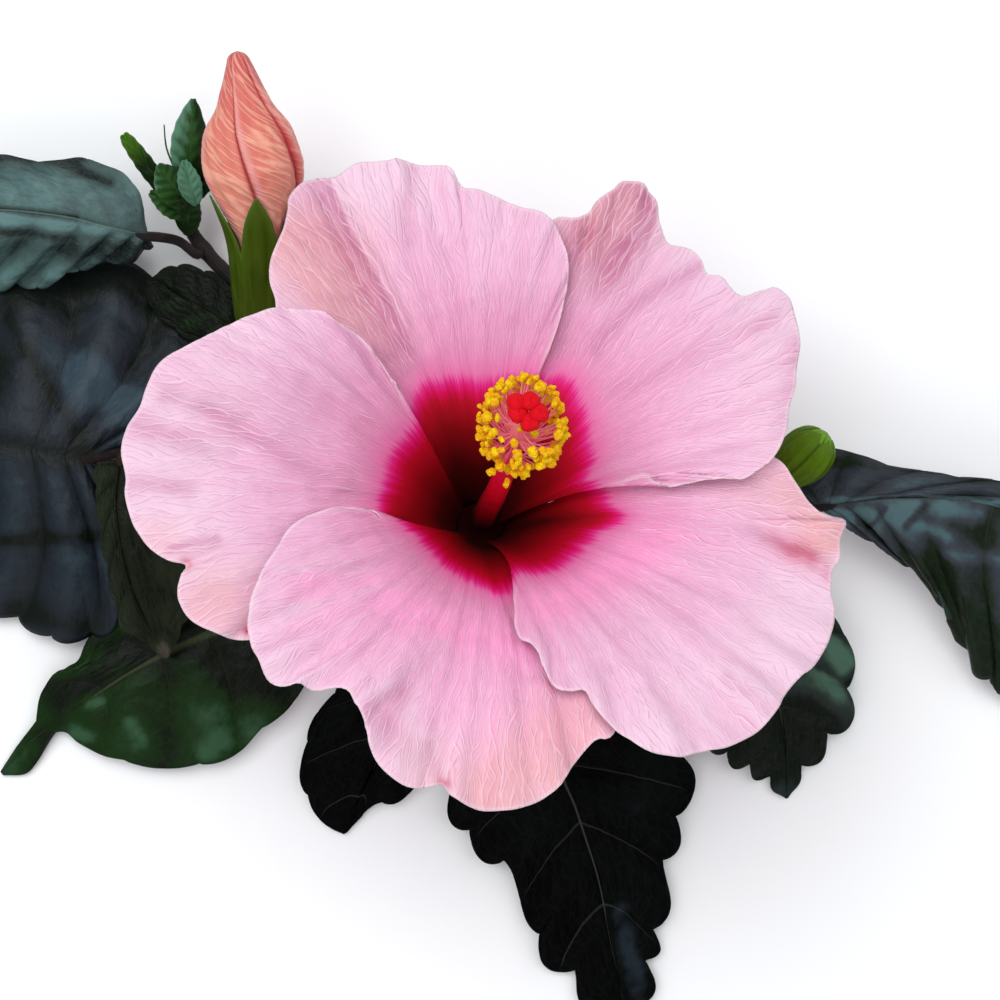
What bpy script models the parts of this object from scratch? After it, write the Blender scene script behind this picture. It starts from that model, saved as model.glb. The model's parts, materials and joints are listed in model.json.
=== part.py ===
"""A cut hibiscus sprig that lies on its leaves: one open bloom, two buds, the leaves and their stems.

Run it with blender --background --python part.py. Metres, +Z up, and the floor is at z = 0.
The sprig is modelled with the floor point under the bloom's middle as (0, 0, 0). At the end
everything is moved so that the origin is the bottom centre of the whole sprig.
"""

import math

import bmesh
import bpy
import numpy as np

GAP = 0.0003  # clearance between two pieces that touch on the real plant
UP = np.array([0.0, 0.0, 1.0])
GOLDEN_ANGLE = math.radians(137.508)

# Stems: the points that each centre line runs through, then the radius at its start and its end.
# A stem that grows from another one names it, with how far along it, and its first point is
# worked out there, just clear of the bark.
STEMS = {
    "main_stem": dict(
        grows_from=None,
        path=[
            (0.0224, -0.0286, 0.0026),
            (0.0020, -0.0195, 0.0042),
            (-0.0180, 0.0015, 0.0050),
            (-0.0408, 0.0265, 0.0050),
            (-0.0525, 0.0425, 0.0050),
            (-0.0610, 0.0520, 0.0056),
            (-0.0638, 0.0570, 0.0078),
        ],
        radii=(0.0026, 0.0013),
        rings=24,
        sides=10,
        finish="bark",
    ),
    "side_twig": dict(
        grows_from=("main_stem", 0.19),
        path=[
            (0.0070, -0.0120, 0.0050),
            (0.0200, -0.0080, 0.0046),
            (0.0450, 0.0015, 0.0052),
            (0.0575, 0.0026, 0.0074),
        ],
        radii=(0.0018, 0.0012),
        rings=16,
        sides=8,
        finish="bark",
    ),
    "left_twig": dict(
        grows_from=("main_stem", 0.52),
        path=[
            (-0.0390, 0.0150, 0.0056),
            (-0.0510, 0.0148, 0.0066),
            (-0.0640, 0.0125, 0.0096),
            (-0.0752, 0.0098, 0.0120),
        ],
        radii=(0.0016, 0.0011),
        rings=14,
        sides=8,
        finish="green_stem",
    ),
    "bud_stalk": dict(
        grows_from=("main_stem", 0.58),
        path=[(-0.0390, 0.0235, 0.0125)],
        radii=(0.0015, 0.0016),
        rings=12,
        sides=8,
        finish="green_stem",
    ),
    "green_bud_stalk": dict(
        grows_from=("side_twig", 0.72),
        path=[(0.0470, 0.0010, 0.0110)],
        radii=(0.0011, 0.0012),
        rings=10,
        sides=8,
        finish="green_stem",
    ),
    "bloom_stalk": dict(
        grows_from=("main_stem", 0.47),
        path=[(-0.0235, 0.0075, 0.0115), (-0.0140, -0.0040, 0.0138)],
        radii=(0.0015, 0.0021),
        rings=18,
        sides=8,
        finish="green_stem",
    ),
}
FOOT_RUN_OUT = 0.0015  # the straight start of a piece that leaves a stem
STALK_RUN_IN = 0.0040  # the straight end of a stalk, in line with the bloom or bud that it carries

# The bloom: where its petals start, how its axis leans, and the trumpet that the petals follow.
BLOOM_BASE = np.array([-0.0040, -0.0050, 0.0240])
BLOOM_TILT = math.radians(17)
BLOOM_TILT_TOWARDS = math.radians(63)
TRUMPET_DEPTH = 0.0440
TRUMPET_FLARE = 0.0170
THROAT_RADIUS = 0.0044
CLAW_HALF_ANGLE = 34.5
PETAL_PITCH = 72.0
PETAL_THICKNESS = 0.0008
PETAL_STACK_AT_THROAT = 0.0009
PETAL_STACK_AT_MARGIN = 0.0034
LONGEST_PETAL = 0.0680
RUFFLES = [(0.0010, 5, 0.6), (0.0008, 9, 2.1), (0.0004, 16, 1.0)]  # height, waves a turn, phase
RUFFLE_FROM = 0.022
RUFFLE_SPAN = 0.045
PETAL_ROWS = 10
PETAL_COLUMNS = 21

# Each petal: the angle of its claw, then its margin as (angle in degrees, distance from the axis).
PETALS = {
    "petal_upper_right": (
        38,
        [
            (5, 0.0180), (358, 0.0300), (358, 0.0420), (3, 0.0490), (13, 0.0540), (24, 0.0595),
            (31, 0.0618), (36, 0.0570), (44, 0.0538), (54, 0.0545), (62, 0.0600), (68, 0.0590),
            (74, 0.0505), (83, 0.0430), (85, 0.0320), (78, 0.0190),
        ],
    ),
    "petal_top": (
        110,
        [
            (74, 0.0190), (68, 0.0300), (72, 0.0410), (80, 0.0490), (92, 0.0520), (100, 0.0578),
            (111, 0.0619), (121, 0.0638), (128, 0.0630), (133, 0.0592), (139, 0.0560),
            (147, 0.0470), (151, 0.0370), (149, 0.0190),
        ],
    ),
    "petal_left": (
        182,
        [
            (146, 0.0180), (135, 0.0280), (135, 0.0380), (143, 0.0500), (153, 0.0565),
            (163, 0.0645), (173, 0.0672), (182, 0.0674), (190, 0.0665), (196, 0.0600),
            (203, 0.0634), (210, 0.0600), (218, 0.0500), (221, 0.0370), (218, 0.0190),
        ],
    ),
    "petal_bottom": (
        254,
        [
            (210, 0.0180), (193, 0.0260), (193, 0.0350), (200, 0.0450), (209, 0.0530),
            (219, 0.0576), (226, 0.0541), (234, 0.0500), (242, 0.0552), (252, 0.0600),
            (256, 0.0584), (264, 0.0616), (274, 0.0592), (283, 0.0530), (292, 0.0470),
            (297, 0.0370), (290, 0.0190),
        ],
    ),
    "petal_lower_right": (
        326,
        [
            (283, 0.0170), (274, 0.0240), (276, 0.0310), (281, 0.0400), (288, 0.0480),
            (297, 0.0585), (309, 0.0638), (324, 0.0640), (334, 0.0640), (341, 0.0612),
            (349, 0.0616), (356, 0.0540), (366, 0.0460), (369, 0.0350), (362, 0.0190),
        ],
    ),
}

# The stamen column stands in the trumpet, in the bloom's own frame (z along its axis).
COLUMN_PATH = [(0.0, 0.0, GAP), (0.0002, 0.0006, 0.0300), (0.0, 0.0034, 0.0600)]
COLUMN_RADII = (0.0024, 0.0013)
ANTHERS = 28
ANTHER_RADIUS = 0.0011
FILAMENT_REACH = 0.0076
FILAMENT_RADIUS = 0.00028
ANTHERS_FROM = 0.72
ANTHERS_TO = 0.97
FILAMENT_RISE = 0.30
STIGMA_PADS = 5
STIGMA_PAD_RADIUS = 0.0018
STIGMA_PAD_SQUASH = 0.75
STIGMA_SPREAD = 0.0023
STYLE_LENGTH = 0.0040
STYLE_RADIUS = 0.0004
STYLE_HUB = (0.0012, 0.0008)  # radius and height of the disc that the five styles leave

# Calyx and epicalyx under the bloom, in the bloom's own frame.
CALYX_WALL = 0.0007
CALYX_THINNING = 0.6  # how much of its wall the cup loses between its floor and its rim
CALYX_CLEARANCE = 0.0019
CALYX_FLOOR = -0.0033
CALYX_RIM = 0.0085
CALYX_TEETH = 5
CALYX_TOOTH = 0.0120
EPICALYX_TOP = CALYX_FLOOR - GAP
EPICALYX_THICKNESS = 0.0010
EPICALYX_RADIUS = 0.0034
EPICALYX_BRACTS = 7
BRACT_LENGTH = 0.0085
BRACT_RISE = 0.0022
BRACT_HALF_WIDTH = 0.0009
BRACT_THICKNESS = 0.0006

# Buds: base, tip, greatest radius, how far they bow aside, and how much of them the calyx wraps.
CORAL_BUD = ((-0.0470, 0.0344, 0.0220), (-0.0498, 0.0850, 0.0380), 0.0094, 0.0016, 0.44)
GREEN_BUD = ((0.0538, 0.0022, 0.0158), (0.0650, 0.0137, 0.0230), 0.0050, 0.0, 0.80)
BUD_PROFILE = [  # place along the bud, share of its greatest radius
    (0.0, 0.30), (0.25, 0.44), (0.42, 0.76), (0.56, 1.0),
    (0.68, 0.91), (0.80, 0.56), (0.90, 0.32), (1.0, 0.12),
]
BUD_FURL = 0.03  # how far the furled petals' three ridges stand out, as a share of the radius
BUD_CALYX_CLEARANCE = 0.0010
BUD_TOOTH_SHARE = 0.58  # how much of the calyx's height its teeth take
BUD_TOOTH_BLUNTNESS = 0.7
BUD_FLOOR = 0.0022
BUD_RINGS = 13
BUD_SIDES = 14

# Leaves. Each one: the stem that its petiole leaves and how far along, the petiole's points, the
# midrib's four Bezier points, the half-widths on the left and right of the midrib, where along it
# the blade is widest, the fold and the roll of its two halves in degrees, how far its lobes reach
# back past the petiole, how sharply it tapers, and how much of the outline's foot is left out.
LEAVES = {
    "leaf_upper_left": dict(
        grows_from=("main_stem", 0.89),
        petiole=[(-0.0645, 0.0520, 0.0102), (-0.0680, 0.0525, 0.0138)],
        midrib=[
            (-0.0713, 0.0532, 0.0155),
            (-0.0900, 0.0575, 0.0225),
            (-0.1150, 0.0600, 0.0190),
            (-0.1360, 0.0570, 0.0),
        ],
        half_widths=(0.0172, 0.0138),
        widest=0.46,
        fold=6,
        roll=28,
        lobe=0.003,
        taper=0.55,
        foot=0.0,
    ),
    "leaf_left": dict(
        grows_from=("left_twig", 1.0),
        petiole=[(-0.0785, 0.0090, 0.0124)],
        midrib=[
            (-0.0820, 0.0085, 0.0128),
            (-0.1030, 0.0105, 0.0150),
            (-0.1280, 0.0100, 0.0070),
            (-0.1480, 0.0060, 0.0),
        ],
        half_widths=(0.0360, 0.0350),
        widest=0.36,
        fold=-8,
        roll=0,
        lobe=0.0320,
        taper=0.55,
        foot=0.08,
    ),
    "leaf_lower_left": dict(
        grows_from=("main_stem", 0.27),
        petiole=[(-0.0160, -0.0125, 0.0052), (-0.0280, -0.0190, 0.0060), (-0.0400, -0.0208, 0.0064)],
        midrib=[
            (-0.0480, -0.0215, 0.0064),
            (-0.0660, -0.0310, 0.0060),
            (-0.0860, -0.0450, 0.0040),
            (-0.1010, -0.0560, 0.0),
        ],
        half_widths=(0.0205, 0.0175),
        widest=0.36,
        fold=2,
        roll=0,
        lobe=0.004,
        taper=0.9,
        foot=0.0,
    ),
    "leaf_under_bloom": dict(
        grows_from=("main_stem", 0.20),
        petiole=[(-0.0070, -0.0215, 0.0050)],
        midrib=[
            (-0.0130, -0.0280, 0.0060),
            (-0.0180, -0.0400, 0.0070),
            (-0.0260, -0.0560, 0.0045),
            (-0.0323, -0.0687, 0.0),
        ],
        half_widths=(0.0100, 0.0145),
        widest=0.56,
        fold=4,
        roll=0,
        lobe=0.002,
        taper=0.35,
        foot=0.0,
    ),
    "leaf_bottom": dict(
        grows_from=("main_stem", 0.11),
        petiole=[(0.0080, -0.0290, 0.0046), (0.0084, -0.0350, 0.0056)],
        midrib=[
            (0.0085, -0.0410, 0.0066),
            (0.0155, -0.0620, 0.0100),
            (0.0235, -0.0900, 0.0070),
            (0.0288, -0.1162, 0.0),
        ],
        half_widths=(0.0215, 0.0228),
        widest=0.27,
        fold=12,
        roll=0,
        lobe=0.006,
        taper=0.9,
        foot=0.0,
    ),
    "leaf_lower_right": dict(
        grows_from=("side_twig", 0.42),
        petiole=[(0.0310, -0.0085, 0.0052), (0.0390, -0.0120, 0.0066)],
        midrib=[
            (0.0480, -0.0150, 0.0074),
            (0.0550, -0.0280, 0.0100),
            (0.0590, -0.0450, 0.0070),
            (0.0590, -0.0620, 0.0),
        ],
        half_widths=(0.0150, 0.0145),
        widest=0.56,
        fold=8,
        roll=0,
        lobe=0.003,
        taper=0.4,
        foot=0.0,
    ),
    "leaf_right": dict(
        grows_from=("side_twig", 1.0),
        petiole=[(0.0620, 0.0012, 0.0100)],
        midrib=[
            (0.0655, -0.0010, 0.0130),
            (0.0900, 0.0060, 0.0225),
            (0.1180, 0.0020, 0.0180),
            (0.1245, -0.0442, 0.0),
        ],
        half_widths=(0.0095, 0.0240),
        widest=0.52,
        fold=-24,
        roll=26,
        lobe=0.002,
        taper=0.55,
        foot=0.0,
    ),
    "leaf_young": dict(
        grows_from=("left_twig", 0.93),
        petiole=[(-0.0750, 0.0090, 0.0155)],
        midrib=[
            (-0.0763, 0.0065, 0.0178),
            (-0.0800, -0.0050, 0.0225),
            (-0.0770, -0.0200, 0.0190),
            (-0.0670, -0.0315, 0.0110),
        ],
        half_widths=(0.0125, 0.0085),
        widest=0.50,
        fold=-14,
        roll=0,
        lobe=0.001,
        taper=0.55,
        foot=0.0,
    ),
    "leaf_behind_bud": dict(
        grows_from=("main_stem", 0.68),
        petiole=[(-0.0468, 0.0318, 0.0098)],
        midrib=[
            (-0.0515, 0.0325, 0.0105),
            (-0.0575, 0.0355, 0.0125),
            (-0.0640, 0.0400, 0.0115),
            (-0.0690, 0.0440, 0.0090),
        ],
        half_widths=(0.0065, 0.0065),
        widest=0.45,
        fold=4,
        roll=0,
        lobe=0.0,
        taper=0.55,
        foot=0.0,
    ),
}
LEAF_THICKNESS = 0.0009
LEAF_ROWS = 15
LEAF_COLUMNS = 7
LEAF_TOOTH = 0.10  # how far the margin's teeth stand out, as a share of the half-width
SETTLES_BY = 0.55  # where along a leaf its blade has come all the way down to the floor
PETIOLE_RADIUS = 0.0010
NARROWEST = 0.0008

# The growing tip: a short stalk and the young leaves fused on it, each as base, tip and half-width.
SHOOT_PATH = [(-0.0640, 0.0575, 0.0084), (-0.0645, 0.0605, 0.0110), (-0.0640, 0.0640, 0.0135)]
SHOOT_LEAVES = [
    ((-0.0643, 0.0600, 0.0108), (-0.0765, 0.0722, 0.0165), 0.0017),
    ((-0.0632, 0.0630, 0.0130), (-0.0600, 0.0795, 0.0215), 0.0040),
    ((-0.0642, 0.0620, 0.0122), (-0.0692, 0.0700, 0.0190), 0.0032),
    ((-0.0643, 0.0592, 0.0104), (-0.0715, 0.0612, 0.0165), 0.0030),
    ((-0.0640, 0.0610, 0.0118), (-0.0575, 0.0690, 0.0150), 0.0030),
]
SHOOT_LEAF_THICKNESS = 0.0007
SHOOT_LEAF_ARCH = 0.0015
SHOOT_LEAF_FOLD = 0.35
SHOOT_STALK_RADII = (0.0012, 0.0009)

COLOURS = {
    "bark": (0.055, 0.035, 0.030),
    "green_stem": (0.060, 0.075, 0.030),
    "leaf": (0.012, 0.030, 0.022),
    "young_leaf": (0.040, 0.110, 0.020),
    "brown_leaf": (0.030, 0.022, 0.018),
    "petal": (0.800, 0.330, 0.520),
    "anther": (0.900, 0.480, 0.010),
    "stigma": (0.800, 0.010, 0.020),
    "calyx": (0.060, 0.140, 0.010),
    "coral": (0.700, 0.150, 0.110),
}
ROUGHNESS = {"leaf": 0.35, "bark": 0.70}
DEFAULT_ROUGHNESS = 0.55


def unit(vectors):
    """The vectors, each at length one."""
    vectors = np.asarray(vectors, float)
    return vectors / np.maximum(np.linalg.norm(vectors, axis=-1, keepdims=True), 1e-12)


def smooth_path(points, count):
    """A smooth curve through the points, read at even steps of the square root of their spacing."""
    points = np.asarray(points, float)
    knots = np.concatenate([[0], np.cumsum(np.linalg.norm(np.diff(points, axis=0), axis=1) ** 0.5)])
    slopes = np.gradient(points, knots, axis=0)
    place = np.linspace(0, knots[-1], count)
    first = np.clip(np.searchsorted(knots, place, side="right") - 1, 0, len(points) - 2)
    span = (knots[first + 1] - knots[first])[:, None]
    t = (place - knots[first])[:, None] / span
    after = first + 1
    return (
        (2 * t**3 - 3 * t**2 + 1) * points[first]
        + (t**3 - 2 * t**2 + t) * span * slopes[first]
        + (3 * t**2 - 2 * t**3) * points[after]
        + (t**3 - t**2) * span * slopes[after]
    )


def bezier(points, t):
    """A cubic Bezier curve of four points."""
    a, b, c, d = np.asarray(points, float)
    t = np.asarray(t, float)[:, None]
    return a * (1 - t) ** 3 + 3 * b * t * (1 - t) ** 2 + 3 * c * t**2 * (1 - t) + d * t**3


def smooth_step(x):
    """0 up to 0, 1 from 1 on, and smooth in between."""
    x = np.clip(x, 0, 1)
    return x * x * (3 - 2 * x)


def material(name):
    """The Principled material of that name, made on its first use."""
    made = bpy.data.materials.get(name)
    if made is None:
        made = bpy.data.materials.new(name)
        made.use_nodes = True
        shader = made.node_tree.nodes["Principled BSDF"]
        shader.inputs["Base Color"].default_value = (*COLOURS[name], 1.0)
        shader.inputs["Roughness"].default_value = ROUGHNESS.get(name, DEFAULT_ROUGHNESS)
    return made


def add_object(name, points, faces, finish):
    """A mesh object with its normals turned outwards."""
    mesh = bpy.data.meshes.new(name)
    mesh.from_pydata([tuple(point) for point in points], [], faces)
    shape = bmesh.new()
    shape.from_mesh(mesh)
    bmesh.ops.recalc_face_normals(shape, faces=shape.faces)
    shape.to_mesh(mesh)
    shape.free()
    obj = bpy.data.objects.new(name, mesh)
    obj.data.materials.append(material(finish))
    bpy.context.scene.collection.objects.link(obj)
    return obj


def fused(name, solids, finish):
    """One object from several closed solids that overlap, joined by a Boolean union."""
    extras = bpy.data.collections.new(name + "_parts")
    bpy.context.scene.collection.children.link(extras)
    body = add_object(name, *solids[0], finish)
    for number, (points, faces) in enumerate(solids[1:]):
        extra = add_object(f"{name}_{number}", points, faces, finish)
        bpy.context.scene.collection.objects.unlink(extra)
        extras.objects.link(extra)
    union = body.modifiers.new("Union", "BOOLEAN")
    union.operation = "UNION"
    union.operand_type = "COLLECTION"
    union.collection = extras
    bpy.context.view_layer.update()
    graph = bpy.context.evaluated_depsgraph_get()
    joined = bpy.data.meshes.new_from_object(body.evaluated_get(graph))
    body.modifiers.remove(union)
    body.data = joined
    for extra in list(extras.objects):
        bpy.data.objects.remove(extra)
    bpy.data.collections.remove(extras)
    return body


def wall_faces(rings, around):
    """The faces between rings of points that lie one after another."""
    faces = []
    for ring in range(rings - 1):
        for side in range(around):
            a, b = ring * around + side, ring * around + (side + 1) % around
            faces.append((a, b, b + around, a + around))
    return faces


def end_faces(rings, around):
    """The two flat ends of a row of rings."""
    return [tuple(range(around)), tuple(range((rings - 1) * around, rings * around))]


def tube(path, radii, sides=8):
    """A closed tube round the path, with flat ends square to it: (points, faces)."""
    path = np.asarray(path, float)
    tangents = unit(np.gradient(path, axis=0))
    tangents[0] = unit(path[1] - path[0])
    tangents[-1] = unit(path[-1] - path[-2])
    across = unit(np.cross(tangents[0], UP if abs(tangents[0][2]) < 0.9 else (1.0, 0.0, 0.0)))
    radii = np.broadcast_to(radii, len(path))
    turns = np.linspace(0, 2 * math.pi, sides, endpoint=False)
    points = []
    for centre, tangent, radius in zip(path, tangents, radii):
        across = unit(across - tangent * across.dot(tangent))
        other = np.cross(tangent, across)
        spokes = np.outer(np.cos(turns), across) + np.outer(np.sin(turns), other)
        points.append(centre + radius * spokes)
    return np.vstack(points), wall_faces(len(path), sides) + end_faces(len(path), sides)


def stem_path(name):
    """The points of a stem's centre line, from the stem it grows from to what it carries."""
    points = [np.array(point) for point in STEMS[name]["path"]]
    carried = CARRIED_BY.get(name)
    if carried:
        end, along = carried()
        points += [end - along * STALK_RUN_IN, end - along * STALK_RUN_IN / 4, end]
    if STEMS[name]["grows_from"]:
        points = [*foot_on(*STEMS[name]["grows_from"], points[0]), *points]
    return points


def foot_on(name, along, towards):
    """The first two points of a side piece, clear of that stem's bark and leaving it squarely."""
    path = smooth_path(stem_path(name), 101)
    start, end = STEMS[name]["radii"]
    place = int(round(100 * along))
    if place == 100:
        way = unit(path[-1] - path[-2])
        foot = path[-1] + way * GAP
    else:
        tangent = unit(path[place + 1] - path[place - 1])
        way = np.asarray(towards) - path[place]
        way = unit(way - tangent * way.dot(tangent))
        foot = path[place] + way * (start + (end - start) * along + GAP)
    return foot, foot + way * FOOT_RUN_OUT


def make_stems():
    """The cut main stem, the two twigs that leave it and the stalks under the bloom and the buds."""
    for name, size in STEMS.items():
        path = smooth_path(stem_path(name), size["rings"])
        points, faces = tube(path, np.linspace(*size["radii"], size["rings"]), size["sides"])
        add_object(name, points, faces, size["finish"])


def slab(grid, thickness):
    """A closed sheet of that thickness round a grid of points: (points, faces)."""
    rows, columns, _ = grid.shape
    normals = unit(np.cross(np.gradient(grid, axis=0), np.gradient(grid, axis=1)))
    offset = normals * thickness / 2
    points = np.concatenate([grid + offset, grid - offset]).reshape(-1, 3)
    index = np.arange(rows * columns).reshape(rows, columns)
    back = index + rows * columns
    faces = []
    for r in range(rows - 1):
        for c in range(columns - 1):
            faces.append((index[r, c], index[r, c + 1], index[r + 1, c + 1], index[r + 1, c]))
            faces.append((back[r, c], back[r + 1, c], back[r + 1, c + 1], back[r, c + 1]))
    rim = [*index[0, :-1], *index[:-1, -1], *index[-1, :0:-1], *index[:0:-1, 0]]
    for a, b in zip(rim, rim[1:] + rim[:1]):
        faces.append((a, b, b + rows * columns, a + rows * columns))
    return points, [tuple(int(i) for i in face) for face in faces]


def ball(centre, radius, across=6, around=4, squash=1.0):
    """A closed round solid: a ball, or one flattened along z."""
    points = [np.array([0.0, 0.0, radius * squash])]
    for ring in range(1, around):
        polar = math.pi * ring / around
        for side in range(across):
            turn = 2 * math.pi * side / across
            level = radius * math.sin(polar)
            height = radius * squash * math.cos(polar)
            points.append((level * math.cos(turn), level * math.sin(turn), height))
    points.append((0.0, 0.0, -radius * squash))
    last = len(points) - 1
    faces = []
    for side in range(across):
        after = (side + 1) % across
        faces.append((0, 1 + side, 1 + after))
        for ring in range(around - 2):
            a, b = 1 + ring * across + side, 1 + ring * across + after
            faces.append((a, a + across, b + across, b))
        low = 1 + (around - 2) * across
        faces.append((last, low + after, low + side))
    return np.array(points) + centre, faces


def bloom_frame():
    """The bloom's own axes as rows: two across it and one along its axis."""
    lean = math.sin(BLOOM_TILT)
    axis = np.array(
        [lean * math.cos(BLOOM_TILT_TOWARDS), lean * math.sin(BLOOM_TILT_TOWARDS), math.cos(BLOOM_TILT)]
    )
    across = unit(np.cross((0.0, 1.0, 0.0), axis))
    return np.array([across, np.cross(axis, across), axis])


def to_world(local):
    """Points in the bloom's own frame, put in the sprig's."""
    return BLOOM_BASE + np.asarray(local, float) @ bloom_frame()


def trumpet_height(radius):
    """How high the trumpet stands at that distance from its axis."""
    return TRUMPET_DEPTH * (1 - np.exp(-(radius - THROAT_RADIUS) / TRUMPET_FLARE))


def trumpet_slope(radius):
    """The steepness of the trumpet's wall at that distance from its axis."""
    return TRUMPET_DEPTH / TRUMPET_FLARE * np.exp(-(radius - THROAT_RADIUS) / TRUMPET_FLARE)


def margin_ruffle(angle, radius):
    """The waves that lift and drop the corolla towards its margin."""
    reach = smooth_step((radius - RUFFLE_FROM) / RUFFLE_SPAN)
    waves = sum(size * np.sin(count * angle + phase) for size, count, phase in RUFFLES)
    return reach * waves


def petal_grid(claw_angle, margin, rows, columns):
    """The petal's middle surface: rays that fan out from its claw to points along its margin."""
    margin = np.array([(math.radians(angle), radius) for angle, radius in margin])
    flat = np.stack([margin[:, 1] * np.cos(margin[:, 0]), margin[:, 1] * np.sin(margin[:, 0])], axis=1)
    flat = smooth_path(flat, columns)
    middle = math.radians(claw_angle)
    edge = middle + np.angle(np.exp(1j * (np.arctan2(flat[:, 1], flat[:, 0]) - middle)))
    edge_radius = np.linalg.norm(flat, axis=1)
    claw = middle + math.radians(CLAW_HALF_ANGLE) * np.linspace(-1, 1, columns)
    along = np.linspace(0, 1, rows)[:, None]
    angle = claw + (edge - claw) * along**0.8
    radius = THROAT_RADIUS + (edge_radius - THROAT_RADIUS) * along
    aside = (angle - middle) / math.radians(PETAL_PITCH / 2)
    reach = (radius - THROAT_RADIUS) / (LONGEST_PETAL - THROAT_RADIUS)
    stack = PETAL_STACK_AT_THROAT + (PETAL_STACK_AT_MARGIN - PETAL_STACK_AT_THROAT) * reach
    slope = trumpet_slope(radius)
    lift = -stack * aside * PETAL_PITCH / 90
    steep = np.hypot(slope, 1)
    out = radius - lift * slope / steep
    height = trumpet_height(radius) + lift / steep + margin_ruffle(angle, radius)
    height = height + GAP + PETAL_THICKNESS / 2
    return to_world(np.stack([out * np.cos(angle), out * np.sin(angle), height], axis=-1))


def make_petals():
    """The five overlapping petals."""
    for name, (claw_angle, margin) in PETALS.items():
        grid = petal_grid(claw_angle, margin, PETAL_ROWS, PETAL_COLUMNS)
        add_object(name, *slab(grid, PETAL_THICKNESS), "petal")


def make_stamens():
    """The column with its filaments and anthers, fused, and the stigma's five pads above it."""
    path = smooth_path(COLUMN_PATH, 13)
    radii = np.linspace(*COLUMN_RADII, len(path))
    solids = [tube(to_world(path), radii)]
    for number in range(ANTHERS):
        along = ANTHERS_FROM + (ANTHERS_TO - ANTHERS_FROM) * (number + 0.5) / ANTHERS
        foot = np.array([np.interp(along, np.linspace(0, 1, len(path)), path[:, k]) for k in range(3)])
        turn = number * GOLDEN_ANGLE
        out = np.array([math.cos(turn), math.sin(turn), FILAMENT_RISE])
        anther = foot + out * FILAMENT_REACH
        solids.append(tube(to_world([foot, anther]), FILAMENT_RADIUS, 3))
        solids.append(ball(to_world(anther), ANTHER_RADIUS, 5, 3))
    fused("stamen_column", solids, "anther")
    top = np.array(COLUMN_PATH[-1]) + (0.0, 0.0, GAP)
    hub = top + (0.0, 0.0, STYLE_HUB[1])
    solids = [tube(to_world([top, hub]), STYLE_HUB[0], 8)]
    for number in range(STIGMA_PADS):
        turn = 2 * math.pi * number / STIGMA_PADS
        pad = hub + (STIGMA_SPREAD * math.cos(turn), STIGMA_SPREAD * math.sin(turn), STYLE_LENGTH)
        solids.append(tube(to_world([hub - (0.0, 0.0, STYLE_HUB[1] / 2), pad]), STYLE_RADIUS, 4))
        solids.append(ball(to_world(pad), STIGMA_PAD_RADIUS, 7, 5, STIGMA_PAD_SQUASH))
    fused("stigma_head", solids, "stigma")


def calyx_cup(rim_of, wall, profile, floor_inner, floor_outer, around, rows):
    """A closed cup with a toothed rim: outer wall up to the rim, and inner wall back down.

    profile(height) gives the radius of the wall's middle, and rim_of(turn) the height of its rim.
    The wall thins towards the rim.
    """
    turns = np.linspace(0, 2 * math.pi, around, endpoint=False)

    def ring(radius, height):
        return np.stack([radius * np.cos(turns), radius * np.sin(turns), np.full(around, height)], 1)

    rings = [ring(0.6 * profile(floor_outer), floor_outer)]
    for side, start in ((1, floor_outer), (-1, floor_inner)):
        levels = np.linspace(0, 1, rows)[::side]
        for level in levels:
            height = start + (rim_of(turns) - start) * level
            half_wall = 0.5 * wall * (1 - CALYX_THINNING * level)
            rings.append(ring(profile(height) + side * half_wall, height))
    rings.append(ring(0.5 * profile(floor_inner), floor_inner))
    points = np.vstack([*rings, [[0, 0, floor_outer]], [[0, 0, floor_inner]]])
    faces = wall_faces(len(rings), around)
    outer, inner = len(points) - 2, len(points) - 1
    last = (len(rings) - 1) * around
    for side in range(around):
        after = (side + 1) % around
        faces.append((outer, after, side))
        faces.append((inner, last + side, last + after))
    return points, faces


def tooth_wave(turns, teeth, blunt=0.8):
    """1 at each tooth's tip and 0 between the teeth."""
    return (1 - np.abs((turns * teeth / (2 * math.pi)) % 1 - 0.5) * 2) ** blunt


def make_bloom_calyx():
    """The calyx cup under the petals and the ring of narrow bracts under the calyx."""

    def wall_radius(height):
        inside = np.clip(height, 0, None)
        reach = -TRUMPET_FLARE * np.log(1 - np.minimum(inside / TRUMPET_DEPTH, 0.6))
        slope = trumpet_slope(THROAT_RADIUS + reach)
        clear = CALYX_CLEARANCE * np.hypot(slope, 1) / slope
        return THROAT_RADIUS + reach + clear + 0.35 * np.minimum(height, 0)

    points, faces = calyx_cup(
        lambda turns: CALYX_RIM + CALYX_TOOTH * tooth_wave(turns, CALYX_TEETH),
        CALYX_WALL,
        wall_radius,
        0.0,
        CALYX_FLOOR,
        30,
        5,
    )
    add_object("bloom_calyx", to_world(points), faces, "calyx")
    low = EPICALYX_TOP - EPICALYX_THICKNESS
    solids = [tube(to_world([(0, 0, low), (0, 0, EPICALYX_TOP)]), EPICALYX_RADIUS, 14)]
    for number in range(EPICALYX_BRACTS):
        turn = 2 * math.pi * (number + 0.3) / EPICALYX_BRACTS
        out = np.array([math.cos(turn), math.sin(turn), 0.0])
        aside = np.array([-math.sin(turn), math.cos(turn), 0.0])
        along = np.linspace(0, 1, 5)
        height = low + EPICALYX_THICKNESS / 2 + BRACT_RISE * (1.4 * along**2 - 0.4 * along)
        middle = np.outer(0.6 * EPICALYX_RADIUS + BRACT_LENGTH * along, out) + np.outer(height, UP)
        half = BRACT_HALF_WIDTH * (1 - 0.75 * along**2)
        grid = middle[:, None] + half[:, None, None] * np.linspace(-1, 1, 3)[None, :, None] * aside
        solids.append(slab(to_world(grid), BRACT_THICKNESS))
    fused("bloom_epicalyx", solids, "calyx")


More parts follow.
